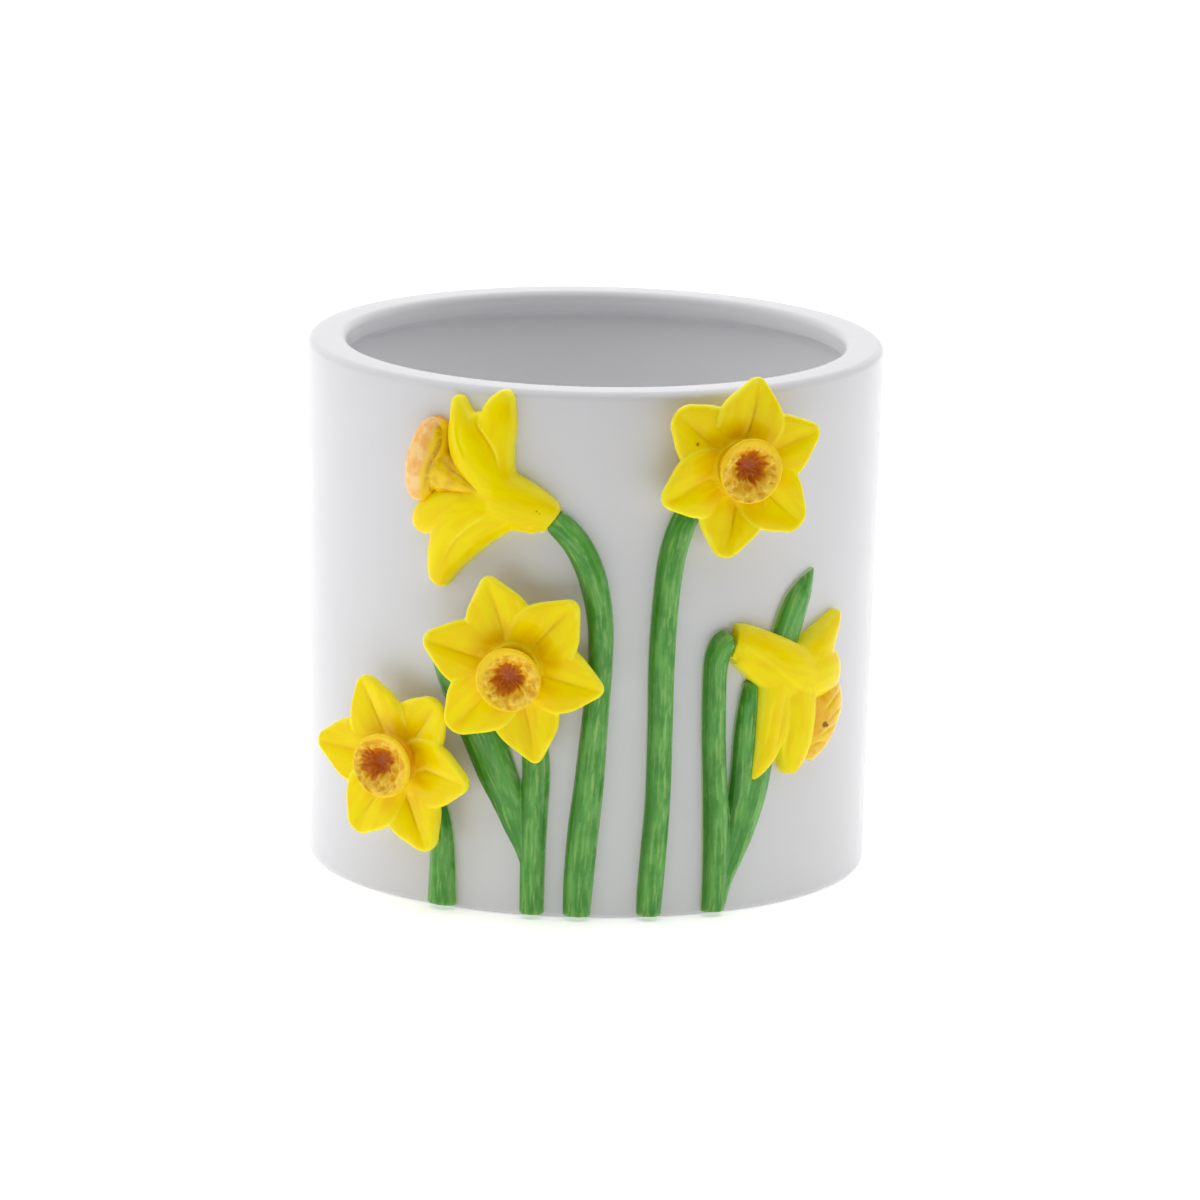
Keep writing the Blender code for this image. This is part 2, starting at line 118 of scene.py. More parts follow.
LEAF_B = (
    (-12.7, 8.0, 1.6, 2.4), (-14.9, 16.2, 2.2, 2.6), (-17.2, 22.2, 3.1, 2.8), (-19.4, 28.6, 4.2, 3.0),
    (-22.0, 34.5, 5.0, 3.2), (-25.8, 43.2, 5.4, 3.2), (-30.5, 51.6, 5.0, 3.0), (-34.5, 58.0, 4.0, 2.8),
    (-37.5, 63.0, 2.6, 2.4), (-39.5, 67.5, 0.8, 1.6),
)
STEM_C = (
    (15.6, 1.0, 3.0, 3.6), (15.8, 6.0, 3.2, 3.8), (16.5, 17.2, 3.2, 4.2), (17.2, 30.0, 3.1, 4.2),
    (17.3, 48.0, 3.1, 4.2), (17.3, 64.0, 3.2, 4.2), (18.0, 78.4, 3.2, 4.2), (19.3, 89.0, 3.3, 4.0),
    (21.8, 96.8, 3.3, 3.6), (25.0, 101.6, 3.1, 3.2), (28.3, 105.6, 2.9, 3.0),
)
STEM_D = (
    (-36.3, 1.0, 4.0, 3.6), (-36.2, 7.0, 3.6, 3.6), (-36.2, 13.2, 3.3, 3.4),
    (-36.6, 19.4, 3.0, 3.2), (-38.0, 24.5, 2.9, 3.0), (-41.1, 29.9, 2.8, 2.8),
)
STEM_E = (
    (32.2, 1.0, 3.1, 3.4), (32.4, 12.0, 3.2, 3.8), (32.2, 24.0, 3.3, 4.0), (31.6, 34.0, 3.1, 4.0),
    (31.0, 44.0, 3.0, 4.0), (30.8, 53.0, 3.0, 4.0), (30.8, 59.0, 3.0, 4.0), (31.2, 63.2, 3.1, 4.2),
    (32.6, 66.4, 3.2, 4.2), (35.2, 67.4, 3.0, 4.0),
)
LEAF_E_SHORT = (
    (34.2, 8.0, 2.0, 2.4), (36.6, 18.0, 2.4, 2.8), (38.0, 25.6, 2.6, 3.0), (38.7, 31.0, 2.8, 3.2),
    (39.2, 37.0, 2.9, 3.2), (39.6, 43.0, 3.0, 3.2), (40.0, 48.0, 2.8, 3.0), (40.5, 52.5, 2.5, 2.8),
    (40.9, 57.0, 1.7, 2.2),
)
LEAF_E_LONG = (
    (33.2, 2.0, 2.2, 2.6), (34.9, 8.4, 2.4, 2.8), (37.2, 14.0, 3.0, 3.0), (39.9, 21.0, 3.8, 3.0),
    (42.8, 30.0, 4.2, 2.8), (45.4, 40.0, 4.0, 2.0), (47.8, 50.0, 4.0, 1.8), (50.0, 60.0, 4.4, 1.8),
    (51.8, 68.0, 4.6, 2.4), (54.1, 73.6, 4.2, 2.6), (57.0, 77.8, 2.9, 2.3), (60.4, 82.0, 0.3, 0.9),
)
GREENS = {
    "stem_a": (STEM_A,),
    "leafy_stem_b": (STEM_B, LEAF_B),
    "stem_c": (STEM_C,),
    "stem_d": (STEM_D,),
    "leafy_stem_e": (STEM_E, LEAF_E_SHORT, LEAF_E_LONG),
}

# How deep the maker's tool drew along the stems and leaves, how many times across and along each mm, and how
# far apart one ridge's marks are from the next one's. Finer and shallower marks lie over the coarse ones
TOOL_MARK = 0.13
TOOL_ACROSS = 0.75
TOOL_ALONG = 0.035
TOOL_APART = 9.7
FINE_SHARE = 0.5
FINE_ACROSS = TOOL_ACROSS * 2.6
FINE_ALONG = TOOL_ALONG * 2
FINE_APART = 5.3

# The two flowers seen from the side, in the same rows, from the calyx outwards
CALYX_A = (
    (-9.4, 96.8, 3.2, 4.2), (-11.3, 98.2, 4.8, 5.2), (-15.2, 99.8, 5.9, 6.2),
    (-19.4, 101.2, 6.7, 6.8), (-24.0, 102.5, 7.2, 6.8),
)
FAR_PETAL_A = (
    (-20.0, 102.6, 4.4, 5.2), (-22.2, 108.0, 3.9, 5.4), (-22.6, 113.0, 3.9, 5.2),
    (-22.8, 118.0, 4.4, 4.9), (-22.3, 122.6, 4.1, 4.4), (-20.2, 127.8, 1.7, 2.8),
)
NEAR_PETAL_A = (
    (-20.8, 103.0, 5.0, 6.2), (-25.0, 107.6, 5.6, 6.4), (-28.2, 112.2, 5.8, 6.1),
    (-30.2, 116.6, 4.9, 5.6), (-31.8, 121.0, 2.9, 4.6), (-33.0, 125.8, 1.3, 3.0),
)
WEB_A = (
    (-22.5, 108.0, 4.0, 5.4), (-25.6, 114.0, 4.2, 4.9), (-27.4, 119.0, 2.9, 4.1), (-27.9, 122.2, 0.8, 2.8),
)
LOW_PETAL_A = (
    (-19.0, 100.2, 5.4, 6.2), (-24.5, 97.6, 6.0, 6.4), (-30.2, 94.0, 6.6, 6.0),
    (-34.2, 89.0, 5.8, 5.4), (-36.5, 84.0, 4.1, 4.6), (-38.0, 78.8, 2.0, 3.0),
)
SMALL_PETAL_A = (
    (-25.6, 100.0, 4.8, 5.6), (-35.4, 98.0, 5.1, 5.2), (-40.6, 95.2, 4.3, 4.4), (-44.2, 92.0, 2.1, 2.8),
)
TRUMPET_A = (
    (-26.0, 103.8, 0.9, 6.6), (-30.0, 105.1, 2.8, 6.4), (-34.0, 106.4, 4.5, 5.8), (-38.2, 107.0, 6.0, 4.8),
)
MOUTH_A = (
    (-42.2, 99.5, 2.4, 4.8), (-42.0, 102.2, 3.6, 6.0), (-41.6, 105.8, 4.2, 6.8), (-40.5, 109.5, 4.7, 7.2),
    (-39.4, 113.2, 4.6, 6.8), (-38.5, 116.8, 3.7, 6.0), (-37.8, 119.7, 2.4, 4.8),
)
CALYX_E = (
    (35.1, 66.9, 3.9, 4.6), (37.4, 66.3, 4.9, 5.6), (40.8, 64.2, 5.8, 6.2),
    (45.5, 61.2, 6.7, 6.8), (51.0, 58.2, 7.0, 7.2), (56.5, 56.4, 6.4, 6.8),
)
TOP_PETAL_E = (
    (54.6, 58.6, 5.4, 6.2), (59.6, 61.7, 4.9, 5.8), (63.8, 64.6, 3.9, 5.0),
    (67.2, 67.4, 2.4, 4.0), (70.2, 70.0, 0.8, 2.8),
)
NEAR_PETAL_E = (
    (52.5, 56.6, 6.0, 6.6), (57.5, 56.3, 6.4, 6.8), (62.5, 56.1, 6.2, 6.4),
    (65.8, 56.0, 5.9, 5.6), (68.5, 55.9, 5.5, 4.2),
)
LOW_LEFT_PETAL_E = (
    (47.4, 58.0, 5.0, 6.2), (46.1, 51.0, 4.1, 5.8), (45.9, 45.0, 4.3, 5.4),
    (45.1, 40.0, 3.8, 5.0), (43.1, 35.5, 2.4, 4.2), (41.0, 32.0, 0.6, 2.6),
)
LOW_RIGHT_PETAL_E = (
    (53.2, 56.0, 5.4, 6.6), (54.2, 49.0, 5.2, 6.4), (54.4, 43.0, 4.9, 6.0),
    (54.0, 38.4, 4.6, 5.2), (52.8, 32.2, 2.1, 3.6),
)
TRUMPET_E = (
    (62.0, 53.0, 6.0, 5.0), (63.8, 48.6, 6.6, 5.8), (63.0, 44.0, 5.6, 5.6),
    (61.4, 40.0, 4.5, 5.0), (58.2, 35.0, 2.4, 3.6),
)
SIDE_PETALS = {
    "petals_a": (CALYX_A, FAR_PETAL_A, NEAR_PETAL_A, WEB_A, LOW_PETAL_A, SMALL_PETAL_A),
    "petals_e": (CALYX_E, TOP_PETAL_E, NEAR_PETAL_E, LOW_LEFT_PETAL_E, LOW_RIGHT_PETAL_E),
}
SIDE_CORONAS = {
    "corona_a": (TRUMPET_A, MOUTH_A),
    "corona_e": (TRUMPET_E,),
}

# Lines drawn into those flowers on the unrolled wall: a route of along and up, how deep and half how wide
# it is drawn, and how much higher the surface stands just to the right of the line's way. The deep ones
# are painted darker, partly as glaze held in them and partly as painted shade in the crease, and the
# shallow ones not. A line thins out towards its ends
LINE_END = 0.02
LINE_TAPER = 0.6
SHALLOW_LINE = 0.2
DEEP_LINE = 0.6
STEP_FADE = 3.4
LINES = {
    "petals_a": (
        (((-27.8, 121.4), (-26.6, 119.0), (-24.2, 116.2), (-22.3, 113.1), (-21.2, 109.0)), 0.4, 0.3, -0.4),
        (((-31.6, 120.0), (-30.6, 115.6), (-28.4, 111.0)), 0.15, 0.7, 0.25),
        (((-13.0, 97.0), (-15.4, 96.6), (-17.6, 96.8)), 0.2, 0.4, 0.0),
        (((-22.0, 98.6), (-27.0, 95.0), (-31.0, 91.0), (-34.4, 85.6)), 0.2, 0.7, 0.35),
        (((-30.4, 100.2), (-34.6, 97.6), (-38.6, 93.4)), 0.2, 0.8, -0.3),
    ),
    "petals_e": (
        (((37.0, 66.7), (39.4, 64.6), (44.0, 61.1),
          (49.4, 56.6), (55.0, 53.4), (62.4, 52.3)), 0.1, 1.1, -0.6),
        (((48.6, 54.6), (48.0, 48.4), (47.6, 43.8), (46.6, 39.3)), 0.3, 0.5, -0.35),
        (((52.4, 64.0), (56.4, 62.8), (60.6, 62.4)), 0.25, 0.9, -0.3),
        (((50.6, 45.0), (50.2, 40.0), (50.6, 35.8)), 0.3, 0.5, 0.0),
        (((45.0, 52.0), (44.2, 46.0), (43.4, 40.0)), 0.12, 0.6, 0.2),
        (((54.2, 51.0), (54.8, 45.0), (54.4, 39.0)), 0.12, 0.7, -0.2),
    ),
    "corona_a": (
        (((-41.3, 119.0), (-39.8, 119.8), (-38.0, 119.6), (-36.4, 118.2), (-35.7, 115.8), (-36.0, 113.2),
          (-37.0, 110.6), (-37.9, 107.8), (-38.7, 104.6), (-39.6, 102.2)), 0.45, 0.45, 0.3),
        (((-35.2, 110.0), (-32.6, 108.3), (-29.3, 106.5), (-26.6, 104.9)), 0.35, 0.25, 0.0),
        (((-37.6, 102.7), (-32.3, 102.9), (-27.0, 103.4)), 0.35, 0.25, 0.0),
    ),
    "corona_e": (
        (((66.6, 51.2), (63.6, 49.6), (61.0, 47.6)), 0.3, 0.5, 0.3),
        (((67.2, 47.4), (64.4, 46.2), (61.8, 44.4)), 0.32, 0.45, 0.3),
        (((65.2, 43.0), (62.6, 42.4), (60.0, 41.0)), 0.3, 0.45, 0.25),
        (((62.6, 39.2), (60.0, 39.6), (57.8, 38.4)), 0.25, 0.4, 0.2),
    ),
}

# Small dark specks in the glaze: where they are on the unrolled wall, or in the flower's own frame, and how
# big they are. They fade out from one share of that size to another
SPECK_CORE = 0.6
SPECK_BLUR = 1.2
SPECKS = {
    "corona_e": ((61.0, 43.9, 0.85), (61.7, 43.6, 0.5)),
    "petals_c": ((-11.2, 6.2, 0.42),),
    "petals_a": ((-12.3, 100.1, 0.2), (-11.8, 99.5, 0.17)),
}

# The three flowers that face out: where they sit, how far they swing to the right and nod, in degrees, how
# far the cup turns further to the right and shifts, and where its ruffles and its dark heart are centred.
# Each petal has a bearing from the top, a reach, how far it lies over its neighbours, from 0 to 1, how blunt
# its tip is, how far the tip leans, how much higher its right half is, and how deep its crease is
BLOOMS = {
    "b": {
        "along": -17.1, "up": 62.7, "swing": 4.0, "nod": 4.0,
        "cup_turn": 0.0, "cup_shift": (0.1, -0.7), "ruffles": (0.9, -0.5), "heart": (-0.6, -0.2),
        "petals": (
            (-17, 23.4, 0.2, 0.1, 0.3, 0.3, 0.5), (42, 23.2, 1.0, 0.2, -0.3, -0.3, 0.6),
            (99, 22.3, 0.6, 0.1, 0.6, 0.3, 0.4), (166, 23.9, 0.0, 0.0, 0.0, -0.4, 0.6),
            (222, 21.9, 0.5, 0.7, 0.8, 0.2, 0.3), (286, 22.7, 0.3, 0.3, 0.3, -0.3, 0.4),
        ),
    },
    "c": {
        "along": 33.2, "up": 110.8, "swing": -6.0, "nod": 0.0,
        "cup_turn": 0.0, "cup_shift": (0.0, 0.4), "ruffles": (-0.4, -0.8), "heart": (0.8, 0.5),
        "petals": (
            (11, 22.0, 1.0, 0.1, -0.2, 0.4, 0.9), (69, 21.6, 0.2, 0.2, -0.6, -0.4, 0.3),
            (132, 21.5, 0.6, 0.8, 0.6, 0.4, 0.4), (189, 22.1, 0.4, 0.5, 0.4, -0.6, 0.8),
            (251, 21.2, 0.7, 0.3, -0.5, 0.5, 0.2), (309, 21.5, 0.0, 0.9, 0.4, -0.3, 0.3),
        ),
    },
    "d": {
        "along": -45.7, "up": 35.4, "swing": 0.0, "nod": 0.0,
        "cup_turn": 9.0, "cup_shift": (-0.4, 0.8), "ruffles": (-0.6, -0.3), "heart": (-2.6, 0.2),
        "petals": (
            (-25, 22.2, 0.9, 0.4, 0.3, 0.4, 0.8), (38, 21.6, 0.1, 1.0, 0.5, 0.5, 0.5),
            (93, 23.1, 0.6, 0.3, 0.4, -0.4, 0.4), (151, 22.8, 0.2, 0.6, -0.4, 0.5, 0.8),
            (211, 21.4, 0.6, 0.6, 0.4, -0.4, 0.5), (275, 23.4, 0.0, 0.3, 0.3, 0.3, 0.2),
        ),
    },
}

# Those flowers' petals: half their width at shares of their reach, how much wider a blunt one is there, and
# their other sizes. From LAYER_FROM to LAYER_FULL of its reach a petal rises over its neighbours
OUTLINE_PARTS = 12
LAYER_FROM = 0.25
LAYER_FULL = 0.6
PETAL_OUTLINE = (
    (0.12, 6.2), (0.3, 7.8), (0.5, 8.5), (0.68, 7.2), (0.85, 4.0), (0.95, 1.9), (1.0, 1.0),
)
PETAL_BLUNTING = ((0.12, 0.0), (0.6, 0.0), (0.85, 1.0), (0.95, 1.7), (1.0, 1.6))
PETAL_TIP = 1.0
PETAL_REACH = 22.5
PETAL_CLEARANCE = 4.4
PETAL_THICKNESS = 2.6
PETAL_LAYER = 1.1
PETAL_RISE = 1.4
PETAL_CUP = 0.9
PETAL_START = 0.12
PETAL_EDGE = 1.25
PETAL_ROWS = 60
PETAL_COLUMNS = 44
CREASE_DEPTH = 0.32
CREASE_WIDTH = 0.3
CREASE_BEND = 0.8
CREASE_START = 0.38
CREASE_BEFORE = 0.15
CREASE_AFTER = 0.1
CREASE_END = 0.86
CREASE_FADE = 0.3
OUTSIDE_DROP = 20
FOOT_SEGMENTS = 48
HALF_SWELL = 0.55
UNEVEN = 0.16
UNEVEN_SIZE = 5.5
FOOT_RADIUS = 6.6
FOOT_TOP = 8.6

# The cup in the middle of those flowers, as radius and height above its own base, from the base outwards
CORONA_GAP = 0.3
CORONA_PROFILE = (
    (0.0, 0.0), (5.6, 0.0), (5.9, 1.4), (6.6, 3.4), (7.4, 4.7), (7.8, 5.5), (7.4, 6.0),
    (6.3, 5.85), (5.0, 5.3), (3.9, 4.2), (2.6, 3.0), (0.0, 2.7),
)
CORONA_SEGMENTS = 288
CORONA_STEPS = 9

# The cup's ruffles: how far they reach and fade, how high and how deep set they are, how many there are
# round it, how often they break on the way out, and how far from the heart's middle they set in
RUFFLE_REACH = 7.0
RUFFLE_FADE = 0.7
RUFFLE_OVER = 0.1
RUFFLE_HEIGHT = 0.55
RUFFLE_SINK = 0.25
RUFFLE_COARSE = 2.4
RUFFLE_FINE = 4.6
RUFFLE_BREAKS = 0.75
RUFFLE_FROM = 0.8
RUFFLE_FULL = 3.0
CREST_SHARPNESS = 2.2
CREST_SHARE = 0.6

# The cup's dark heart: its reach, between which shares of that it fades, its depth, how ragged it is, and
# the rays of flecks round it
HEART_REACH = 3.8
HEART_FROM = 0.7
HEART_TO = 1.2
HEART_DEPTH = 0.9
HEART_SPIKES = 1.3
HEART_POINT = 0.01
RAYS_ROUND = 3.4
RAYS_OUT = 0.6

# Where the inside's lighter white ends, painted to stand in for light inside the pot: near the top of the
# rim, and within the thickness of the wall
INSIDE_UP = 125.5
INSIDE_UP_END = 127.5
INSIDE_OUT = 64.0
INSIDE_OUT_END = 66.0

# The glazes' colours
WHITE_THIN = (0.698, 0.698, 0.720)
WHITE_THICK = (0.709, 0.709, 0.728)
# Painted light: a lighter white inside the pot, standing in for the light there
WHITE_INSIDE_PAINTED_LIGHT = (0.89, 0.885, 0.90)
# Bare clay under the foot, grey so that it also paints the shade along the base's bottom edge
BARE_CLAY_AND_BASE_SHADE = (0.50, 0.49, 0.47)
YELLOW = (0.97, 0.79, 0.0)
YELLOW_WARM = (0.95, 0.71, 0.0)
LEMON = (1.0, 0.90, 0.04)
OCHRE = (0.78, 0.45, 0.0)
OCHRE_CREASE_AND_SHADE = (0.50, 0.26, 0.0)
SPECK_BROWN = (0.28, 0.09, 0.0)
GREEN = (0.12, 0.40, 0.065)
GREEN_DEEP = (0.06, 0.28, 0.035)
GREEN_DARK = (0.04, 0.20, 0.01)
GREEN_LIGHT = (0.25, 0.52, 0.16)
GREEN_YELLOW = (0.36, 0.60, 0.14)
GREEN_PALE = (0.62, 0.74, 0.45)
CUP_YELLOW = (0.97, 0.66, 0.01)
CUP_ORANGE = (0.88, 0.42, 0.01)
CUP_PAINTED_HIGHLIGHT = (0.97, 0.66, 0.06)
AMBER = (0.86, 0.47, 0.01)
FLECK_BROWN = (0.50, 0.20, 0.005)
HEART_BROWN = (0.72, 0.24, 0.012)
HEART_DARK = (0.50, 0.10, 0.008)
HEART_ORANGE = (0.86, 0.38, 0.02)
PEACH = (1.0, 0.68, 0.26)
PEACH_DARK = (0.92, 0.46, 0.10)
TRUMPET_YELLOW = (0.94, 0.66, 0.0)
LINE_BROWN_AND_SHADE = (0.45, 0.16, 0.0)
PINK_FOOT_SHADE = (0.90, 0.50, 0.28)

# The photograph's camera: a long lens that looks down on the pot a little
CAMERA_SENSOR = 36
CAMERA_FAR = 20
CAMERA_DISTANCE = 2.1
CAMERA_LENS = 257.7
CAMERA_RISE = 0.219
CAMERA_AIM = 0.0627
CAMERA_YAW = 0.0011
CAMERA_ROLL = 0.0203

# The studio's floor, which glows faintly, and is darker well in front of the pot
FLOOR_SEGMENTS = 96
FLOOR_ROUGHNESS = 0.9
FLOOR_RADIUS = 8.0
FLOOR_DROP = 0.0002
FLOOR_COLOUR = (0.95, 0.95, 0.95)
FLOOR_IN_FRONT = (0.5, 0.5, 0.5)
FLOOR_GLOW = 0.41
FLOOR_FADE_START = 0.35
FLOOR_FADE_END = 1.2

# The studio's light: how bright it is all round, overhead, behind the camera and on the left and the right.
# The dark side is a little to the camera's right: how far a direction faces it, and how far up it reaches
SURROUND = 1.1
OVERHEAD_FROM = 0.75
OVERHEAD = 1.45
BEHIND_CAMERA = 0.0
DARK_SIDE = radians(10)
DARK_FROM = 0.0
DARK_TO = 0.5
DARK_TOP = 0.4
DARK_ABOVE = 0.85
LEFT_SHARE = 1.06
RIGHT_SHARE = 0.92


def wall_radius(up):
    return BASE_RADIUS + (RIM_RADIUS - BASE_RADIUS) * up / HEIGHT


def on_wall(places):
    """Places on the unrolled wall, as along, up and out, bent round the pot."""
    along, up, out = places.T
    turn = along / RIM_RADIUS
    reach = wall_radius(up) + out
    return np.stack((reach * np.sin(turn), -reach * np.cos(turn), up), axis=1)


def smooth_step(value, low, high):
    share = np.clip((value - low) / (high - low), 0, 1)
    return share * share * (3 - 2 * share)


def smooth_route(rows, steps):
    """Rows on a curve through the given rows, at steps where 1 is the second row."""
    rows = np.array(rows, float)
    rows = np.vstack((2 * rows[0] - rows[1], rows, 2 * rows[-1] - rows[-2]))
    first = np.clip(np.floor(steps).astype(int), 0, len(rows) - 4)
    t = (steps - first)[:, None]
    a, b, c, d = (rows[first + i] for i in range(4))
    bend = (2 * a - 5 * b + 4 * c - d) * t**2 + (3 * b - a - 3 * c + d) * t**3
    return (2 * b + (c - a) * t + bend) / 2


def fine_route(rows, parts):
    """The same curve with each step between rows cut in parts."""
    return smooth_route(rows, np.linspace(0, len(rows) - 1, parts * (len(rows) - 1) + 1))


def grain(places):
    """Soft noise from about -1 to 1 at each place."""
    return np.array([noise.noise(Vector(place)) for place in places])


def places_of(mesh):
    """The mesh's vertices as rows of three numbers."""
    places = np.empty(len(mesh.vertices) * 3, np.float32)
    mesh.vertices.foreach_get("co", places)
    return places.reshape(-1, 3).astype(float)


def normals_of(mesh):
    normals = np.empty(len(mesh.vertices) * 3, np.float32)
    mesh.vertex_normals.foreach_get("vector", normals)
    return normals.reshape(-1, 3).astype(float)


def put_places(mesh, places):
    mesh.vertices.foreach_set("co", places.astype(np.float32).ravel())
    mesh.update()


def store(mesh, name, values):
    """Keeps a number or a vector for each vertex, which a material reads by this name."""
    vector = values.ndim == 2
    attribute = mesh.attributes.new(name, "FLOAT_VECTOR" if vector else "FLOAT", "POINT")
    attribute.data.foreach_set("vector" if vector else "value", values.astype(np.float32).ravel())


def evened(mesh, values, weights, rounds):
    """Evens values out over the mesh, each vertex by its weight in each round."""
    ends = np.empty(len(mesh.edges) * 2, np.int32)
    mesh.edges.foreach_get("vertices", ends)
    near, far = ends.reshape(-1, 2).T
    count = np.bincount(ends, minlength=len(values)).astype(float)
    for _ in range(rounds):
        total = np.bincount(near, values[far], len(values)) + np.bincount(far, values[near], len(values))
        values = values + weights * (total / count - values)
    return values


def stand_out(mesh, places, rounds):
    """How far each vertex stands out of its surroundings: above zero on ridges and below zero in creases."""
    mean = np.stack([evened(mesh, places[:, axis], EVEN_SHARE, rounds) for axis in range(3)], axis=1)
    return ((places - mean) * normals_of(mesh)).sum(axis=1)


def facing_out(mesh, turned):
    """How far each vertex counts as facing out, between the two shares of facing straight out in turned."""
    return smooth_step(normals_of(mesh)[:, 2], *turned)


def object_from(name, bm):
    mesh = bpy.data.meshes.new(name)
    bm.to_mesh(mesh)
    bm.free()
    mesh.shade_smooth()
    piece = bpy.data.objects.new(name, mesh)
    bpy.context.scene.collection.objects.link(piece)
    return piece


def settle(piece, paint, node):
    """Gives a finished piece its paint and its place in the frame, where it stands for one node."""
    piece.data.materials.clear()
    piece.data.materials.append(paint)
    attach(piece, "root")
    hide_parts(node)


def block(bm, columns, rows):
    """A closed block from -1 to 1 in X and Y, whose top is at Z 1 and bottom at Z 0, ready to be shaped."""
    verts = bmesh.ops.create_grid(bm, x_segments=columns, y_segments=rows, size=1)["verts"]
    faces = list({face for vert in verts for face in vert.link_faces})
    new = bmesh.ops.extrude_face_region(bm, geom=faces)["geom"]
    top = [g for g in new if isinstance(g, bmesh.types.BMVert)]
    bmesh.ops.translate(bm, verts=top, vec=(0, 0, 1))
    return verts + top


def shape(verts, form):
    """Moves a block's vertices to where form puts them."""
    spots = np.array([vert.co for vert in verts])
    for vert, place in zip(verts, form(spots)):
        vert.co = place


def round_end(gap, radius):
    """How wide a ridge is at a gap from its rounded end, as a share that is never under a tenth."""
    return np.sqrt(np.clip(1 - (1 - np.clip(gap / radius, 0, 1)) ** 2, 0.01, 1))


def ridge(bm, rows, fall):
    """A closed rounded ridge along rows on the unrolled wall, with rounded ends."""
    def form(spots):
        steps = (spots[:, 1] + 1) / 2 * (len(rows) - 1)
        row = smooth_route(rows, steps)
        way = smooth_route(rows, steps + WAY_STEP)[:, :2] - row[:, :2]
        way /= np.linalg.norm(way, axis=1)[:, None]
        end = np.linalg.norm(row[:, :2] - rows[-1][:2], axis=1)
        share = round_end(end, min(rows[-1][2], ROUNDEST_END))
        angle = pi * (1 - spots[:, 0]) / 2
        across = np.cos(angle) * row[:, 2] * share
        high = row[:, 3] * np.abs(np.sin(angle)) ** fall * share**0.5
        out = np.where(spots[:, 2] > 0.5, high, -SINK)
        return np.stack((row[:, 0] + way[:, 1] * across, row[:, 1] - way[:, 0] * across, out), axis=1)

    shape(block(bm, RIDGE_SIDES, ROUTE_STEPS * (len(rows) - 1)), form)


def petal_half_width(t, blunt):
    """Half the petal's width at the share t of its reach, with a rounded tip as blunt as given."""
    outline = fine_route(PETAL_OUTLINE, OUTLINE_PARTS)
    extra = fine_route(PETAL_BLUNTING, OUTLINE_PARTS)
    width = np.interp(t, *outline.T) + blunt * np.maximum(np.interp(t, *extra.T), 0)
    return width * round_end((1 - t) * PETAL_REACH, PETAL_TIP * (1 + blunt))


def petal_top(t, s, layer, fold):
    """The height of the petal's face at t along it and s across it, from -1 to 1."""
    base = PETAL_CLEARANCE + PETAL_THICKNESS + PETAL_LAYER * layer * smooth_step(t, LAYER_FROM, LAYER_FULL)
    belly = np.sin(pi * t)
    cup = PETAL_CUP * (np.abs(s) + s * s) / 2
    swell = HALF_SWELL * np.sin(pi * np.abs(s))
    return base + PETAL_RISE * t * t + (cup + swell + fold * s) * belly


def petal(bm, row):
    """One thick petal of a flower that faces out, with a rounded edge."""
    bearing, reach, layer, blunt, lean, fold, _ = row
    turn = np.array(Matrix.Rotation(-radians(bearing), 3, "Z"))

    def form(spots):
        t = PETAL_START + (1 - PETAL_START) * (spots[:, 1] + 1) / 2
        s = spots[:, 0]
        half = petal_half_width(t, blunt)
        edge = np.minimum((1 - np.abs(s)) * half, (1 - t) * reach)
        drop = PETAL_EDGE * (1 - np.sqrt(1 - (1 - np.clip(edge / PETAL_EDGE, 0, 1)) ** 2))
        top = petal_top(t, s, layer, fold)
        height = np.where(spots[:, 2] > 0.5, top - drop, top - PETAL_THICKNESS + drop)
        return np.stack((s * half + lean * t * t, t * reach, height), axis=1) @ turn.T

    shape(block(bm, PETAL_COLUMNS, PETAL_ROWS), form)


def skinned(name, bm, soften):
    """Fuses a mesh's closed bodies into one skin and softens its edges and creases, as a glaze does."""
    bmesh.ops.recalc_face_normals(bm, faces=bm.faces[:])
    piece = object_from(name, bm)
    skin = piece.modifiers.new("skin", "REMESH")
    skin.mode = "VOXEL"
    skin.voxel_size = SKIN
    skin.use_smooth_shade = True
    smooth = piece.modifiers.new("soften", "SMOOTH")
    smooth.iterations = soften
    graph = bpy.context.evaluated_depsgraph_get()
    rough = piece.data
    piece.data = bpy.data.meshes.new_from_object(piece.evaluated_get(graph))
    piece.modifiers.clear()
    bpy.data.meshes.remove(rough)
    return piece


def nearest_on(places, rows):
    """For each place, how far across and along a route it lies, the row there, its gap and its share."""
    line = fine_route(rows, ROUTE_PARTS)
    way = np.gradient(line[:, :2], axis=0)
    way /= np.linalg.norm(way, axis=1)[:, None]
    run = np.concatenate(([0], np.cumsum(np.linalg.norm(np.diff(line[:, :2], axis=0), axis=1))))
    best = np.full(len(places), np.inf)
    which = np.zeros(len(places), int)
    for i, point in enumerate(line):
        gap = (places[:, 0] - point[0]) ** 2 + (places[:, 1] - point[1]) ** 2
        closer = gap < best
        best[closer] = gap[closer]
        which[closer] = i
    offset = places[:, :2] - line[which, :2]
    across = offset[:, 0] * way[which, 1] - offset[:, 1] * way[which, 0]
    along = run[which] + (offset * way[which]).sum(axis=1)
    return across, along, line[which], np.sqrt(best), which / (len(line) - 1)


def strands(places, routes):
    """For each place, which ridge it is on, how far across and along it, and how far in from its side."""
    best = np.full(len(places), -np.inf)
    found = np.zeros((len(places), 3))
    share = np.zeros(len(places))
    rim = np.zeros(len(places))
    for i, rows in enumerate(routes):
        across, along, row, gap, _ = nearest_on(places, rows)
        off = gap / row[:, 2]
        high = row[:, 3] * np.sqrt(np.clip(1 - off**2, 0, 1)) - np.maximum(off - 1, 0) * row[:, 2]
        above = high > best
        best[above] = high[above]
        found[above] = np.stack((across, along, np.full(len(places), float(i))), axis=1)[above]
        share[above] = (across / row[:, 2])[above]
        rim[above] = (row[:, 2] - gap)[above]
    return found, share, rim


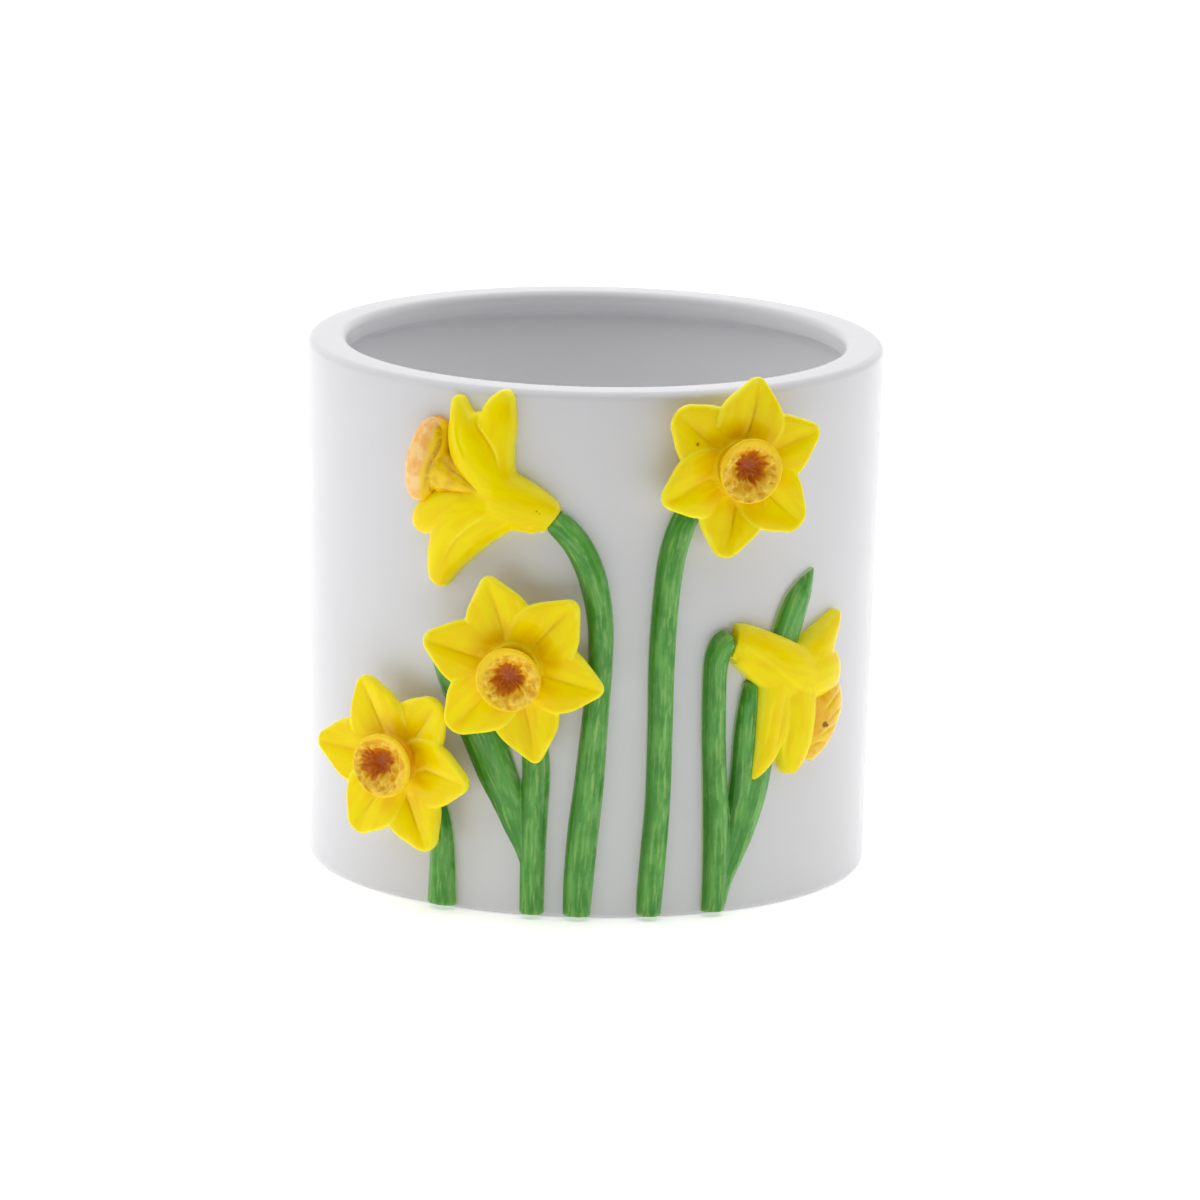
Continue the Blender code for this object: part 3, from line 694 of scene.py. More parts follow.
def draw_lines(places, facing, lines):
    """Draws fine creases into a relief's face, each with a step beside it, and says how dark each place is
    painted in them, as held glaze and painted shade.
    """
    line_glaze_and_shade = np.zeros(len(places))
    for route, depth, width, step in lines:
        across, _, _, gap, share = nearest_on(places, route)
        taper = np.sin(pi * np.clip(share, LINE_END, 1 - LINE_END)) ** LINE_TAPER
        mark = np.exp(-((gap / width) ** 2)) * taper
        side = np.where(across > 0, np.exp(-gap / STEP_FADE) * smooth_step(across, 0, width), 0)
        places[:, 2] += facing * (step * side * taper - depth * mark)
        line_glaze_and_shade = np.maximum(line_glaze_and_shade, mark * facing * smooth_step(depth, SHALLOW_LINE, DEEP_LINE))
    return line_glaze_and_shade


def specks_at(places, name):
    """How dark each place is with the small specks of the piece of this name."""
    dark = np.zeros(len(places))
    for x, y, size in SPECKS.get(name, ()):
        gap = np.hypot(places[:, 0] - x, places[:, 1] - y)
        dark = np.maximum(dark, 1 - smooth_step(gap, size * SPECK_CORE, size * SPECK_BLUR))
    return dark


def relief(name, routes, fall, soften, melt):
    """Ridges on the unrolled wall fused into one skin, whose face flows together, and what a paint reads."""
    bm = bmesh.new()
    for rows in routes:
        ridge(bm, rows, fall)
    piece = skinned("glazed_" + name, bm, soften)
    mesh = piece.data
    places = places_of(mesh)
    facing = facing_out(mesh, FACING_RELIEF)
    weights = EVEN_SHARE * smooth_step(places[:, 2], MELT_ABOVE, MELT_FULL)
    places[:, 2] = evened(mesh, places[:, 2], weights, melt)
    found, share, rim = strands(places, routes)
    store(mesh, "strand", found)
    store(mesh, "across", share)
    store(mesh, "rim", rim)
    return piece, places, facing, found


def finish_relief(piece, name, places, paint):
    """Keeps what the paint reads of a relief's finished form, and puts it in place on the wall."""
    mesh = piece.data
    store(mesh, "height", places[:, 2])
    store(mesh, "edge", stand_out(mesh, places, EDGE_ROUNDS))
    put_places(mesh, on_wall(places) * MM)
    settle(piece, paint, name)


def stem(name, routes, paint):
    """A stem with its leaves, with the long marks of the tool that drew them."""
    piece, places, facing, found = relief(name, routes, STEM_FALL, SOFTEN_GREENS, MELT_GREENS)
    coarse = grain(found * (TOOL_ACROSS, TOOL_ALONG, TOOL_APART))
    fine = grain(found * (FINE_ACROSS, FINE_ALONG, FINE_APART))
    places[:, 2] += facing * TOOL_MARK * (coarse + FINE_SHARE * fine)
    put_places(piece.data, places)
    finish_relief(piece, name, places, paint)


def side_flower(name, routes, soften, paint):
    """The petals or the cup of a flower that is seen from its side."""
    piece, places, facing, _ = relief(name, routes, PETAL_FALL, soften, MELT_FLOWERS)
    places[:, 2] += facing * UNEVEN * grain(places / UNEVEN_SIZE)
    line_glaze_and_shade = draw_lines(places, facing, LINES[name])
    mesh = piece.data
    put_places(mesh, places)
    store(mesh, "line_glaze_and_shade", line_glaze_and_shade)
    store(mesh, "speck", specks_at(places, name))
    store(mesh, "hollow", stand_out(mesh, places, HOLLOW_ROUNDS))
    finish_relief(piece, name, places, paint)


def arc(centre, radius, start, end):
    """Points of a rounded corner in the turned profile, with angles in degrees from +X."""
    angles = np.radians(np.linspace(start, end, CORNER_STEPS + 1))
    return [(centre[0] + radius * cos(a), centre[1] + radius * sin(a)) for a in angles]


def straight(start, end, steps):
    """Points between two others, without them."""
    return [tuple(np.array(start) + (np.array(end) - start) * i / steps) for i in range(1, steps)]


def spun(profile, segments):
    """A closed solid turned about Z from a profile of radius and height that starts and ends on the axis."""
    bm = bmesh.new()
    verts = [bm.verts.new((r, 0.0, z)) for r, z in profile]
    edges = [bm.edges.new(pair) for pair in zip(verts, verts[1:])]
    bmesh.ops.spin(
        bm, geom=verts + edges, cent=(0, 0, 0), axis=(0, 0, 1),
        angle=2 * pi, steps=segments, use_merge=True,
    )
    bmesh.ops.remove_doubles(bm, verts=bm.verts[:], dist=MERGE_DISTANCE)
    bmesh.ops.recalc_face_normals(bm, faces=bm.faces[:])
    return bm


def pot_profile():
    """The pot's section, from the middle of its base round the wall to the middle of its floor."""
    r = RIM_ROUNDING
    b = BASE_ROUNDING
    f = FLOOR_CORNER
    collar_foot = HEIGHT - COLLAR_HEIGHT
    inner_low = BASE_RADIUS - WALL_THICKNESS
    inner_high = wall_radius(collar_foot) - WALL_THICKNESS
    outer_low = arc((BASE_RADIUS - b, b), b, -90, 0)
    outer_high = arc((RIM_RADIUS - r, HEIGHT - r), r, 0, 90)
    mouth = arc((MOUTH_RADIUS + r, HEIGHT - r), r, 90, 180)
    collar = [(MOUTH_RADIUS + out, collar_foot - down) for out, down in COLLAR_EDGE]
    under = [(inner_high - inwards, collar_foot - down) for inwards, down in COLLAR_UNDER]
    corner = arc((inner_low - f, FLOOR_THICKNESS + f), f, 0, -90)
    points = [(0.0, 0.0), (BASE_RADIUS * BASE_RING, 0.0)] + outer_low
    points += straight(outer_low[-1], outer_high[0], WALL_STEPS) + outer_high + mouth + collar + under
    points += straight(under[-1], corner[0], WALL_STEPS) + corner
    return points + [(BASE_RADIUS * FLOOR_RING, FLOOR_THICKNESS), (0.0, FLOOR_THICKNESS)]


def pot(paint):
    piece = object_from("glazed_pot_body", spun(pot_profile(), POT_SEGMENTS))
    put_places(piece.data, places_of(piece.data) * MM)
    settle(piece, paint, "pot_body")


def bloom_frame(bloom, extra_swing=0.0):
    """A flower's own frame: X to the right, Y up and Z out of the wall, turned by its swing and nod."""
    turn = bloom["along"] / RIM_RADIUS
    swing = radians(bloom["swing"] + extra_swing)
    facing = Matrix.Rotation(turn, 4, "Z") @ Matrix.Rotation(radians(90), 4, "X")
    lean = Matrix.Rotation(swing, 4, "Y") @ Matrix.Rotation(radians(bloom["nod"]), 4, "X")
    seat = on_wall(np.array([(bloom["along"], bloom["up"], 0.0)]))[0]
    return np.array(Matrix.Translation(Vector(seat)) @ facing @ lean)


def in_frame(places, place):
    return places @ place[:3, :3].T + place[:3, 3]


def foot(bm):
    """The round foot that carries a flower off the wall."""
    height = FOOT_TOP + SINK
    bmesh.ops.create_cone(
        bm, cap_ends=True, segments=FOOT_SEGMENTS, radius1=FOOT_RADIUS, radius2=FOOT_RADIUS,
        depth=height, matrix=Matrix.Translation((0, 0, height / 2 - SINK)),
    )


def petal_strands(places, petals):
    """For each place, which petal it is on and where, how far in from its outline, and its crease there."""
    best = np.full(len(places), -np.inf)
    found = np.zeros((len(places), 3))
    rim = np.zeros(len(places))
    crease = np.zeros(len(places))
    for i, (bearing, reach, layer, blunt, lean, fold, depth) in enumerate(petals):
        own = places @ np.array(Matrix.Rotation(radians(bearing), 3, "Z")).T
        t = np.clip(own[:, 1] / reach, PETAL_START, 1)
        half = petal_half_width(t, blunt)
        across = own[:, 0] - lean * t * t
        inside = np.minimum(half - np.abs(across), reach - own[:, 1])
        top = petal_top(t, np.clip(across / half, -1, 1), layer, fold)
        high = top + OUTSIDE_DROP * np.minimum(inside, 0)
        fade = smooth_step(t, CREASE_START - CREASE_BEFORE, CREASE_START + CREASE_AFTER)
        fade *= 1 - smooth_step(t, CREASE_END - CREASE_FADE, CREASE_END)
        off = across - CREASE_BEND * fold * np.sin(pi * t)
        line = depth * fade * np.exp(-((off / CREASE_WIDTH) ** 2))
        above = high > best
        best[above] = high[above]
        found[above] = np.stack((across, own[:, 1], np.full(len(places), float(i))), axis=1)[above]
        rim[above] = inside[above]
        crease[above] = line[above]
    return found, rim, crease


def bloom_petals(letter, bloom, paint):
    """The six petals of a flower that faces out, on their foot."""
    name = "petals_" + letter
    bm = bmesh.new()
    foot(bm)
    for row in bloom["petals"]:
        petal(bm, row)
    piece = skinned("glazed_" + name, bm, SOFTEN_PETALS)
    mesh = piece.data
    places = places_of(mesh)
    facing = facing_out(mesh, FACING_PETALS)
    found, rim, crease = petal_strands(places, bloom["petals"])
    places[:, 2] += facing * (UNEVEN * grain(places / UNEVEN_SIZE) - CREASE_DEPTH * crease)
    put_places(mesh, places)
    store(mesh, "strand", found)
    store(mesh, "rim", rim)
    store(mesh, "line_glaze_and_shade", crease * facing)
    store(mesh, "speck", specks_at(places, name) * facing)
    store(mesh, "radius", np.linalg.norm(places[:, :2], axis=1))
    store(mesh, "edge", stand_out(mesh, places, EDGE_ROUNDS))
    store(mesh, "hollow", stand_out(mesh, places, HOLLOW_ROUNDS))
    put_places(mesh, in_frame(places, bloom_frame(bloom)) * MM)
    settle(piece, paint, name)


def cup_profile():
    """The cup's section, which starts and ends on the axis."""
    profile = fine_route(CORONA_PROFILE, CORONA_STEPS)
    profile[:, 0] = np.maximum(profile[:, 0], 0)
    profile[[0, -1], 0] = 0
    return profile.tolist()


def around(way, turns, run):
    """Places for a pattern that changes with the way round the heart, and with how far out it has run."""
    return np.stack((*(way * turns).T, run), axis=1)


def ruffle(places, facing, bloom, seed):
    """Raises the cup's ruffles and sinks its heart, and gives what the paint reads of them."""
    from_heart = places[:, :2] - bloom["heart"]
    reach = np.linalg.norm(places[:, :2] - bloom["ruffles"], axis=1)
    depth = np.linalg.norm(from_heart, axis=1)
    way = from_heart / np.maximum(depth, HEART_POINT)[:, None]
    coarse = grain(around(way, RUFFLE_COARSE, RUFFLE_BREAKS * depth / 2 + seed))
    fine = grain(around(way, RUFFLE_FINE, RUFFLE_BREAKS * depth + seed))
    ragged = grain(around(way, RUFFLE_FINE, np.full(len(places), seed)))
    ruffled = facing * (1 - smooth_step(reach, RUFFLE_REACH - RUFFLE_FADE, RUFFLE_REACH + RUFFLE_OVER))
    crest = (1 - CREST_SHARPNESS * np.abs(coarse)) * CREST_SHARE + fine
    spiked = depth - HEART_SPIKES * ragged
    heart = facing * (1 - smooth_step(spiked, HEART_REACH * HEART_FROM, HEART_REACH * HEART_TO))
    places[:, 2] += ruffled * RUFFLE_HEIGHT * crest * smooth_step(depth, RUFFLE_FROM, RUFFLE_FULL)
    places[:, 2] -= heart * HEART_DEPTH + ruffled * RUFFLE_SINK
    rays = around(way, RAYS_ROUND, RAYS_OUT * depth + seed)
    return {"ruffled": ruffled, "crest": crest * ruffled, "heart": heart, "depth": spiked, "rays": rays}


def bloom_corona(letter, bloom, paint):
    """The ruffled cup in the middle of a flower, which sits on its foot."""
    piece = object_from("glazed_corona_" + letter, spun(cup_profile(), CORONA_SEGMENTS))
    mesh = piece.data
    places = places_of(mesh)
    looks = ruffle(places, facing_out(mesh, FACING_CUP), bloom, float(ord(letter)))
    put_places(mesh, places)
    for name, values in looks.items():
        store(mesh, name, values)
    store(mesh, "height", places[:, 2])
    shift = Matrix.Translation((*bloom["cup_shift"], FOOT_TOP + CORONA_GAP))
    place = bloom_frame(bloom, bloom["cup_turn"]) @ np.array(shift)
    put_places(mesh, in_frame(places, place) * MM)
    settle(piece, paint, "corona_" + letter)


def feed(tree, socket, value):
    """Links a socket to another node's output, or sets it to a number, a vector or a colour."""
    if isinstance(value, bpy.types.NodeSocket):
        tree.links.new(value, socket)
    elif socket.type == "RGBA":
        socket.default_value = (*value, 1)
    else:
        socket.default_value = value


def maths(tree, operation, *values):
    node = tree.nodes.new("ShaderNodeMath")
    node.operation = operation
    for socket, value in zip(node.inputs, values):
        feed(tree, socket, value)
    return node.outputs[0]


def times(tree, a, b):
    return maths(tree, "MULTIPLY", a, b)


def plus(tree, a, b):
    return maths(tree, "ADD", a, b)


def vector_maths(tree, operation, *values):
    node = tree.nodes.new("ShaderNodeVectorMath")
    node.operation = operation
    for socket, value in zip(node.inputs, values):
        feed(tree, socket, value)
    return node


def ranged(tree, value, low, high, start=0.0, end=1.0):
    """Turns a value from low to high into one from start to end, smoothly, and keeps it there outside."""
    node = tree.nodes.new("ShaderNodeMapRange")
    node.interpolation_type = "SMOOTHSTEP"
    for socket, given in zip(node.inputs, (value, low, high, start, end)):
        feed(tree, socket, given)
    return node.outputs["Result"]


def kept(tree, name, output="Fac"):
    """What the pieces keep for each vertex under a name."""
    node = tree.nodes.new("ShaderNodeAttribute")
    node.attribute_name = name
    return node.outputs[output]


def component(tree, vector, axis):
    node = tree.nodes.new("ShaderNodeSeparateXYZ")
    feed(tree, node.inputs[0], vector)
    return node.outputs[axis]


def stretched(tree, vector, scale):
    return vector_maths(tree, "MULTIPLY", vector, scale).outputs["Vector"]


def clouds(tree, vector, scale, detail=2.0, roughness=0.5):
    """Soft noise from 0 to 1."""
    node = tree.nodes.new("ShaderNodeTexNoise")
    feed(tree, node.inputs["Vector"], vector)
    node.inputs["Scale"].default_value = scale
    node.inputs["Detail"].default_value = detail
    node.inputs["Roughness"].default_value = roughness
    return node.outputs["Fac"]


def mixed(tree, share, a, b):
    """A colour between two others."""
    node = tree.nodes.new("ShaderNodeMix")
    node.data_type = "RGBA"
    feed(tree, node.inputs[0], share)
    feed(tree, node.inputs[6], a)
    feed(tree, node.inputs[7], b)
    return node.outputs[2]


def bumped(tree, height, distance, strength):
    node = tree.nodes.new("ShaderNodeBump")
    feed(tree, node.inputs["Height"], height)
    node.inputs["Distance"].default_value = distance
    node.inputs["Strength"].default_value = strength
    return node.outputs["Normal"]


def new_paint(name, gloss):
    """An empty glaze: its node tree, its shader, and the level of its reflections."""
    paint = bpy.data.materials.new(name)
    paint.use_nodes = True
    shader = paint.node_tree.nodes["Principled BSDF"]
    shader.inputs["Specular IOR Level"].default_value = gloss
    return paint, paint.node_tree, shader


def object_place(tree):
    return tree.nodes.new("ShaderNodeTexCoord").outputs["Object"]


def white_glaze():
    """The pot's thick white glaze: faintly clouded and rippled, a lighter white inside that is painted
    light, and unglazed grey under its foot, which also paints the shade along the base's bottom edge.
    """
    paint, tree, shader = new_paint("white_glaze", 0.35)
    place = object_place(tree)
    up = component(tree, place, "Z")
    radius = vector_maths(tree, "LENGTH", stretched(tree, place, (1, 1, 0))).outputs["Value"]
    below_rim = ranged(tree, up, INSIDE_UP * MM, INSIDE_UP_END * MM, 1.0, 0.0)
    inside = times(tree, ranged(tree, radius, INSIDE_OUT * MM, INSIDE_OUT_END * MM, 1.0, 0.0), below_rim)
    cloud = ranged(tree, clouds(tree, place, 45, 3), 0.3, 0.7)
    # Painted light: the inside is a lighter white than the outside, standing in for the light inside the pot
    colour = mixed(tree, inside, mixed(tree, cloud, WHITE_THIN, WHITE_THICK), WHITE_INSIDE_PAINTED_LIGHT)
    # Unglazed under the foot, and its grey there is also a painted shade along the base's bottom edge
    ragged = plus(tree, up, times(tree, clouds(tree, place, 160, 3), -0.0004))
    bare_and_base_shade = ranged(tree, ragged, 0.0, 0.0002, 1.0, 0.0)
    feed(tree, shader.inputs["Base Color"], mixed(tree, bare_and_base_shade, colour, BARE_CLAY_AND_BASE_SHADE))
    gloss = ranged(tree, clouds(tree, place, 60, 1), 0.3, 0.7, 0.22, 0.26)
    feed(tree, shader.inputs["Roughness"], plus(tree, gloss, times(tree, bare_and_base_shade, 0.5)))
    feed(tree, shader.inputs["Normal"], bumped(tree, clouds(tree, place, 45, 0), 0.0001, 0.1))
    return paint


def yellow_glaze():
    """The petals' glaze: brushed along each petal, ochre towards the cup and in the hollows, partly glaze
    that collects there and partly painted shade, pale lemon on the edges, partly where glaze runs off them
    and partly a painted highlight, pale painted highlights on raised parts, and darker in the creases, as
    held glaze and painted shade.
    """
    paint, tree, shader = new_paint("yellow_glaze", 0.12)
    strand = kept(tree, "strand", "Vector")
    place = object_place(tree)
    brush = clouds(tree, stretched(tree, strand, (0.45, 0.1, 3.1)), 1.0, 2, 0.5)
    cloud = clouds(tree, place, 110, 2)
    radius = kept(tree, "radius")
    faces_out = ranged(tree, radius, 0.0, 0.1)
    # Ochre towards the cup and in the hollows: partly glaze that collects there, partly painted shade where
    # shade falls
    throat_shade = times(tree, ranged(tree, radius, 7.5, 14.0, 0.55, 0.0), faces_out)
    pool_and_shade = ranged(tree, kept(tree, "hollow"), -0.6, 0.1, 0.7, 0.0)
    both = plus(tree, times(tree, brush, 0.5), times(tree, cloud, 0.5))
    uneven = ranged(tree, both, 0.35, 0.62, 0.35, 1.1)
    colour = mixed(tree, ranged(tree, brush, 0.35, 0.65), YELLOW, YELLOW_WARM)
    colour = mixed(tree, times(tree, maths(tree, "MAXIMUM", pool_and_shade, throat_shade), uneven), colour, OCHRE)
    # Pale lemon along the edges and sharp ridges: partly glaze that runs off them, partly a painted
    # highlight where they catch the light
    rim = ranged(tree, kept(tree, "rim"), 0.1, 1.3, 0.9, 0.0)
    ridge = ranged(tree, kept(tree, "edge"), 0.012, 0.06, 0.0, 0.8)
    sideways = maths(tree, "SUBTRACT", 1.0, faces_out)
    away = maths(tree, "MAXIMUM", ranged(tree, radius, 9.0, 12.0), sideways)
    thin = times(tree, maths(tree, "MAXIMUM", rim, ridge), away)
    colour = mixed(tree, times(tree, thin, ranged(tree, cloud, 0.35, 0.6, 0.5, 1.0)), colour, LEMON)
    # Painted highlight: pale lemon patches on the raised parts of the petals' faces
    patch = times(tree, ranged(tree, kept(tree, "hollow"), 0.05, 0.4), ranged(tree, cloud, 0.5, 0.62))
    colour = mixed(tree, times(tree, patch, 0.7), colour, LEMON)
    # Darker ochre in the creases: partly glaze held in them, partly painted shade
    colour = mixed(tree, times(tree, kept(tree, "line_glaze_and_shade"), 0.4), colour, OCHRE_CREASE_AND_SHADE)
    colour = mixed(tree, kept(tree, "speck"), colour, SPECK_BROWN)
    feed(tree, shader.inputs["Base Color"], colour)
    feed(tree, shader.inputs["Roughness"], ranged(tree, cloud, 0.3, 0.7, 0.12, 0.22))
    return paint


def green_glaze():
    """The stems' and leaves' glaze: long brush strokes, dark on the left side, pale where it thins out."""
    paint, tree, shader = new_paint("green_glaze", 0.3)
    strand = kept(tree, "strand", "Vector")
    long = clouds(tree, stretched(tree, strand, (0.45, 0.06, 7.3)), 1.0, 2, 0.5)
    short = clouds(tree, stretched(tree, strand, (1.1, 0.17, 3.7)), 1.0, 3, 0.55)
    patch = clouds(tree, object_place(tree), 170, 3, 0.6)
    across = kept(tree, "across")
    thick = ranged(tree, plus(tree, long, times(tree, patch, 0.7)), 0.68, 0.98)
    colour = mixed(tree, thick, GREEN_DEEP, GREEN)
    light = times(tree, ranged(tree, short, 0.42, 0.66), ranged(tree, across, -0.6, 0.3, 0.15, 0.6))
    colour = mixed(tree, times(tree, light, ranged(tree, patch, 0.36, 0.6, 0.4, 1.0)), colour, GREEN_LIGHT)
    band = plus(tree, across, times(tree, plus(tree, long, -0.5), 0.9))
    colour = mixed(tree, ranged(tree, band, -0.85, -0.3, 0.75, 0.0), colour, GREEN_DARK)
    sharp = times(tree, ranged(tree, kept(tree, "edge"), 0.004, 0.03), ranged(tree, short, 0.42, 0.6))
    colour = mixed(tree, times(tree, sharp, 0.5), colour, GREEN_YELLOW)
    ragged = plus(tree, kept(tree, "rim"), times(tree, plus(tree, short, -0.5), 0.6))
    low = ranged(tree, kept(tree, "height"), 0.4, 1.1, 0.8, 0.0)
    fringe = times(tree, ranged(tree, ragged, 0.1, 0.5, 1.0, 0.0), low)
    colour = mixed(tree, fringe, colour, GREEN_PALE)
    feed(tree, shader.inputs["Base Color"], colour)
    feed(tree, shader.inputs["Roughness"], ranged(tree, short, 0.35, 0.65, 0.12, 0.26))
    return paint


def cup_glaze():
    """The frontal cups' glaze: a smooth yellow ring, amber ruffles with painted highlights on their crests
    and dark flecks, and a brown heart.
    """
    paint, tree, shader = new_paint("cup_glaze", 0.25)
    rays = kept(tree, "rays", "Vector")
    place = object_place(tree)
    fleck = clouds(tree, rays, 1.4, 3, 0.6)
    blot = clouds(tree, place, 650, 3, 0.6)
    speckle = clouds(tree, place, 1100, 2, 0.6)
    ring = mixed(tree, ranged(tree, kept(tree, "height"), 2.5, 5.4), CUP_ORANGE, CUP_YELLOW)
    ring = mixed(tree, ranged(tree, blot, 0.5, 0.68, 0.0, 0.5), ring, AMBER)
    # Painted highlight: the ruffles' crests paler
    crest = ranged(tree, kept(tree, "crest"), -0.25, 0.65)
    ruffle = mixed(tree, crest, AMBER, CUP_PAINTED_HIGHLIGHT)
    ruffle = mixed(tree, ranged(tree, blot, 0.52, 0.66, 0.0, 0.55), ruffle, CUP_ORANGE)
    dark = times(tree, ranged(tree, fleck, 0.5, 0.64), ranged(tree, speckle, 0.4, 0.56))
    ruffle = mixed(tree, times(tree, dark, 0.6), ruffle, FLECK_BROWN)
    colour = mixed(tree, kept(tree, "ruffled"), ring, ruffle)
    depth = plus(tree, kept(tree, "depth"), times(tree, plus(tree, blot, -0.5), 4.0))
    core = mixed(tree, ranged(tree, depth, 0.8, 4.0), HEART_DARK, HEART_BROWN)
    core = mixed(tree, ranged(tree, depth, 3.2, 5.2, 0.0, 0.8), core, HEART_ORANGE)
    core = mixed(tree, ranged(tree, speckle, 0.55, 0.7, 0.0, 0.3), core, HEART_ORANGE)
    ragged = plus(tree, kept(tree, "heart"), times(tree, plus(tree, blot, -0.5), 1.2))
    colour = mixed(tree, ranged(tree, ragged, 0.2, 0.75), colour, core)
    feed(tree, shader.inputs["Base Color"], colour)
    feed(tree, shader.inputs["Roughness"], ranged(tree, fleck, 0.35, 0.65, 0.14, 0.25))
    return paint


def trumpet_a_glaze():
    """The upper left cup: a peach mouth with a brown line inside its rim, partly painted shade, a yellow
    edge beyond it with a painted highlight, orange painted shade low down by the wall, and an ochre trumpet
    behind it.
    """
    paint, tree, shader = new_paint("trumpet_a_glaze", 0.3)
    place = object_place(tree)
    mouth = ranged(tree, component(tree, kept(tree, "strand", "Vector"), "Z"), 0.3, 0.7)
    brush = clouds(tree, place, 260, 3)
    fine = clouds(tree, place, 900, 2)
    peach = mixed(tree, ranged(tree, brush, 0.36, 0.62), PEACH, PEACH_DARK)
    # Yellow beyond the mouth's line: the flange's glaze, with a painted highlight along its rim
    ragged = plus(tree, kept(tree, "across"), times(tree, brush, 0.3))
    flange_and_highlight = mixed(tree, ranged(tree, ragged, 0.35, 0.75), peach, CUP_YELLOW)
    trumpet = mixed(tree, ranged(tree, brush, 0.35, 0.65), TRUMPET_YELLOW, OCHRE)
    colour = mixed(tree, mouth, trumpet, flange_and_highlight)
    # The drawn lines brown: partly glaze held in them, partly painted shade in the crease
    line = times(tree, kept(tree, "line_glaze_and_shade"), ranged(tree, fine, 0.3, 0.55, 0.35, 1.0))
    colour = mixed(tree, line, colour, LINE_BROWN_AND_SHADE)
    # Painted shade: darker orange low down, where the cup meets the wall
    low = ranged(tree, kept(tree, "height"), 0.6, 2.6, 0.7, 0.0)
    colour = mixed(tree, low, colour, CUP_ORANGE)
    feed(tree, shader.inputs["Base Color"], colour)
    feed(tree, shader.inputs["Roughness"], ranged(tree, brush, 0.3, 0.7, 0.16, 0.26))
    return paint


def trumpet_e_glaze():
    """The right cup: ochre with painted highlights on its raised crinkles, a brown spot, and a pink painted
    shade along its foot by the wall.
    """
    paint, tree, shader = new_paint("trumpet_e_glaze", 0.35)
    place = object_place(tree)
    brush = clouds(tree, place, 240, 4, 0.6)
    fine = clouds(tree, place, 620, 3)
    ochre = ranged(tree, plus(tree, brush, times(tree, kept(tree, "across"), 0.12)), 0.4, 0.66, 0.0, 0.8)
    colour = mixed(tree, ochre, CUP_YELLOW, CUP_ORANGE)
    # Painted highlight: paler on the raised crinkles
    crinkle_highlight = times(tree, ranged(tree, kept(tree, "hollow"), 0.0, 0.35), ranged(tree, fine, 0.4, 0.6))
    colour = mixed(tree, crinkle_highlight, colour, CUP_PAINTED_HIGHLIGHT)
    # The drawn lines brown: partly glaze held in them, partly painted shade in the crease
    colour = mixed(tree, times(tree, kept(tree, "line_glaze_and_shade"), ranged(tree, fine, 0.35, 0.6)), colour, LINE_BROWN_AND_SHADE)
    # Painted shade: pink low down, where the cup meets the wall
    colour = mixed(tree, ranged(tree, kept(tree, "height"), 0.4, 1.6, 0.6, 0.0), colour, PINK_FOOT_SHADE)
    speck = times(tree, kept(tree, "speck"), ranged(tree, fine, 0.25, 0.5, 0.5, 1.0))
    colour = mixed(tree, speck, colour, SPECK_BROWN)
    feed(tree, shader.inputs["Base Color"], colour)
    feed(tree, shader.inputs["Roughness"], ranged(tree, fine, 0.3, 0.7, 0.14, 0.26))
    return paint


def camera():
    data = bpy.data.cameras.new("camera")
    data.lens = CAMERA_LENS
    data.sensor_width = CAMERA_SENSOR
    data.clip_end = CAMERA_FAR
    piece = bpy.data.objects.new("camera", data)
    bpy.context.scene.collection.objects.link(piece)
    bpy.context.scene.camera = piece
    turn = Matrix.Rotation(-CAMERA_YAW, 4, "Z") @ Matrix.Rotation(radians(90) - CAMERA_RISE, 4, "X")
    spot = Vector((0, -CAMERA_DISTANCE * cos(CAMERA_RISE), CAMERA_DISTANCE * sin(CAMERA_RISE) + CAMERA_AIM))
    piece.matrix_world = Matrix.Translation(spot) @ turn @ Matrix.Rotation(CAMERA_ROLL, 4, "Z")


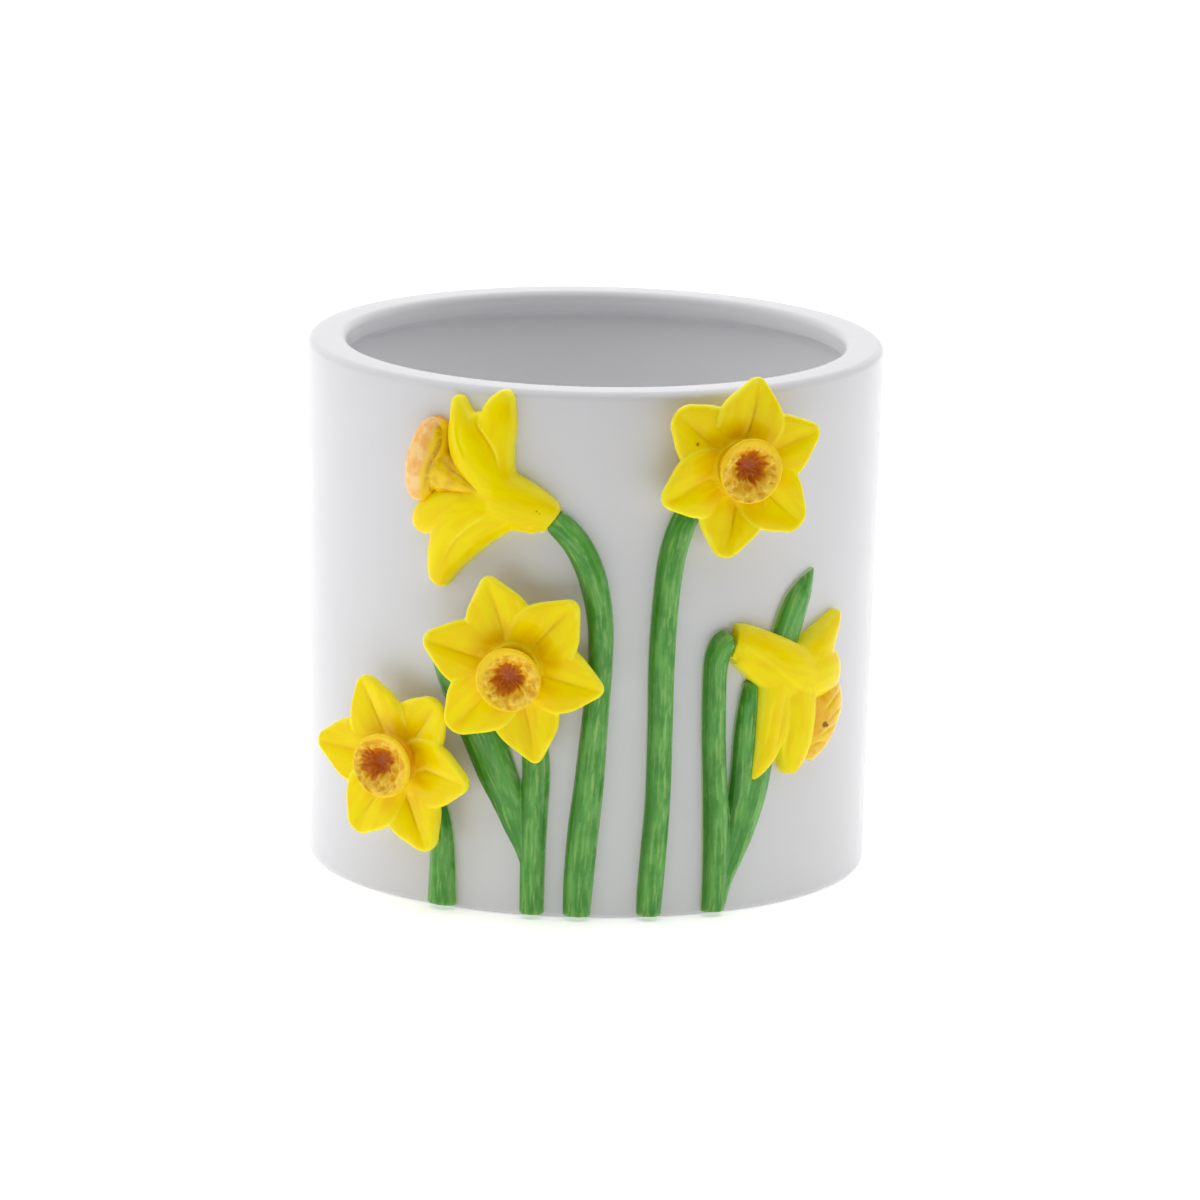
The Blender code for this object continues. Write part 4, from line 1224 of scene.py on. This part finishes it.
def floor():
    bm = bmesh.new()
    bmesh.ops.create_circle(bm, cap_ends=True, segments=FLOOR_SEGMENTS, radius=FLOOR_RADIUS)
    piece = object_from("floor", bm)
    piece.location.z = -FLOOR_DROP
    paint, tree, shader = new_paint("floor", 0.0)
    near = ranged(tree, component(tree, object_place(tree), "Y"), -FLOOR_FADE_END, -FLOOR_FADE_START)
    feed(tree, shader.inputs["Base Color"], mixed(tree, near, FLOOR_IN_FRONT, FLOOR_COLOUR))
    feed(tree, shader.inputs["Emission Strength"], times(tree, near, FLOOR_GLOW))
    shader.inputs["Emission Color"].default_value = (1, 1, 1, 1)
    shader.inputs["Roughness"].default_value = FLOOR_ROUGHNESS
    piece.data.materials.append(paint)


def surround():
    """Soft light from both sides and above, with a darker room behind the camera."""
    world = bpy.data.worlds.new("studio")
    world.use_nodes = True
    bpy.context.scene.world = world
    tree = world.node_tree
    tree.nodes["Background"].inputs["Color"].default_value = (1, 1, 1, 1)
    way = tree.nodes.new("ShaderNodeTexCoord").outputs["Generated"]
    towards = vector_maths(tree, "DOT_PRODUCT", way, (sin(DARK_SIDE), -cos(DARK_SIDE), 0)).outputs["Value"]
    upwards = vector_maths(tree, "DOT_PRODUCT", way, (0, 0, 1)).outputs["Value"]
    low = ranged(tree, upwards, DARK_TOP, DARK_ABOVE, 1.0, 0.0)
    zone = times(tree, ranged(tree, towards, DARK_FROM, DARK_TO), low)
    dark = ranged(tree, zone, 0.0, 1.0, SURROUND, BEHIND_CAMERA)
    leftwards = vector_maths(tree, "DOT_PRODUCT", way, (-1, 0, 0)).outputs["Value"]
    uneven = ranged(tree, leftwards, -1, 1, RIGHT_SHARE, LEFT_SHARE)
    above = ranged(tree, upwards, OVERHEAD_FROM, 1, 1.0, OVERHEAD)
    strength = times(tree, times(tree, dark, uneven), above)
    tree.links.new(strength, tree.nodes["Background"].inputs["Strength"])
    bpy.context.scene.view_settings.view_transform = "Standard"


camera()
floor()
surround()
pot(white_glaze())
green = green_glaze()
for name, routes in GREENS.items():
    stem(name, routes, green)
yellow = yellow_glaze()
cup = cup_glaze()
for letter, bloom in BLOOMS.items():
    bloom_petals(letter, bloom, yellow)
    bloom_corona(letter, bloom, cup)
for name, routes in SIDE_PETALS.items():
    side_flower(name, routes, SOFTEN_PETALS, yellow)
trumpets = {"corona_a": trumpet_a_glaze(), "corona_e": trumpet_e_glaze()}
for name, routes in SIDE_CORONAS.items():
    side_flower(name, routes, SOFTEN_CORONA, trumpets[name])
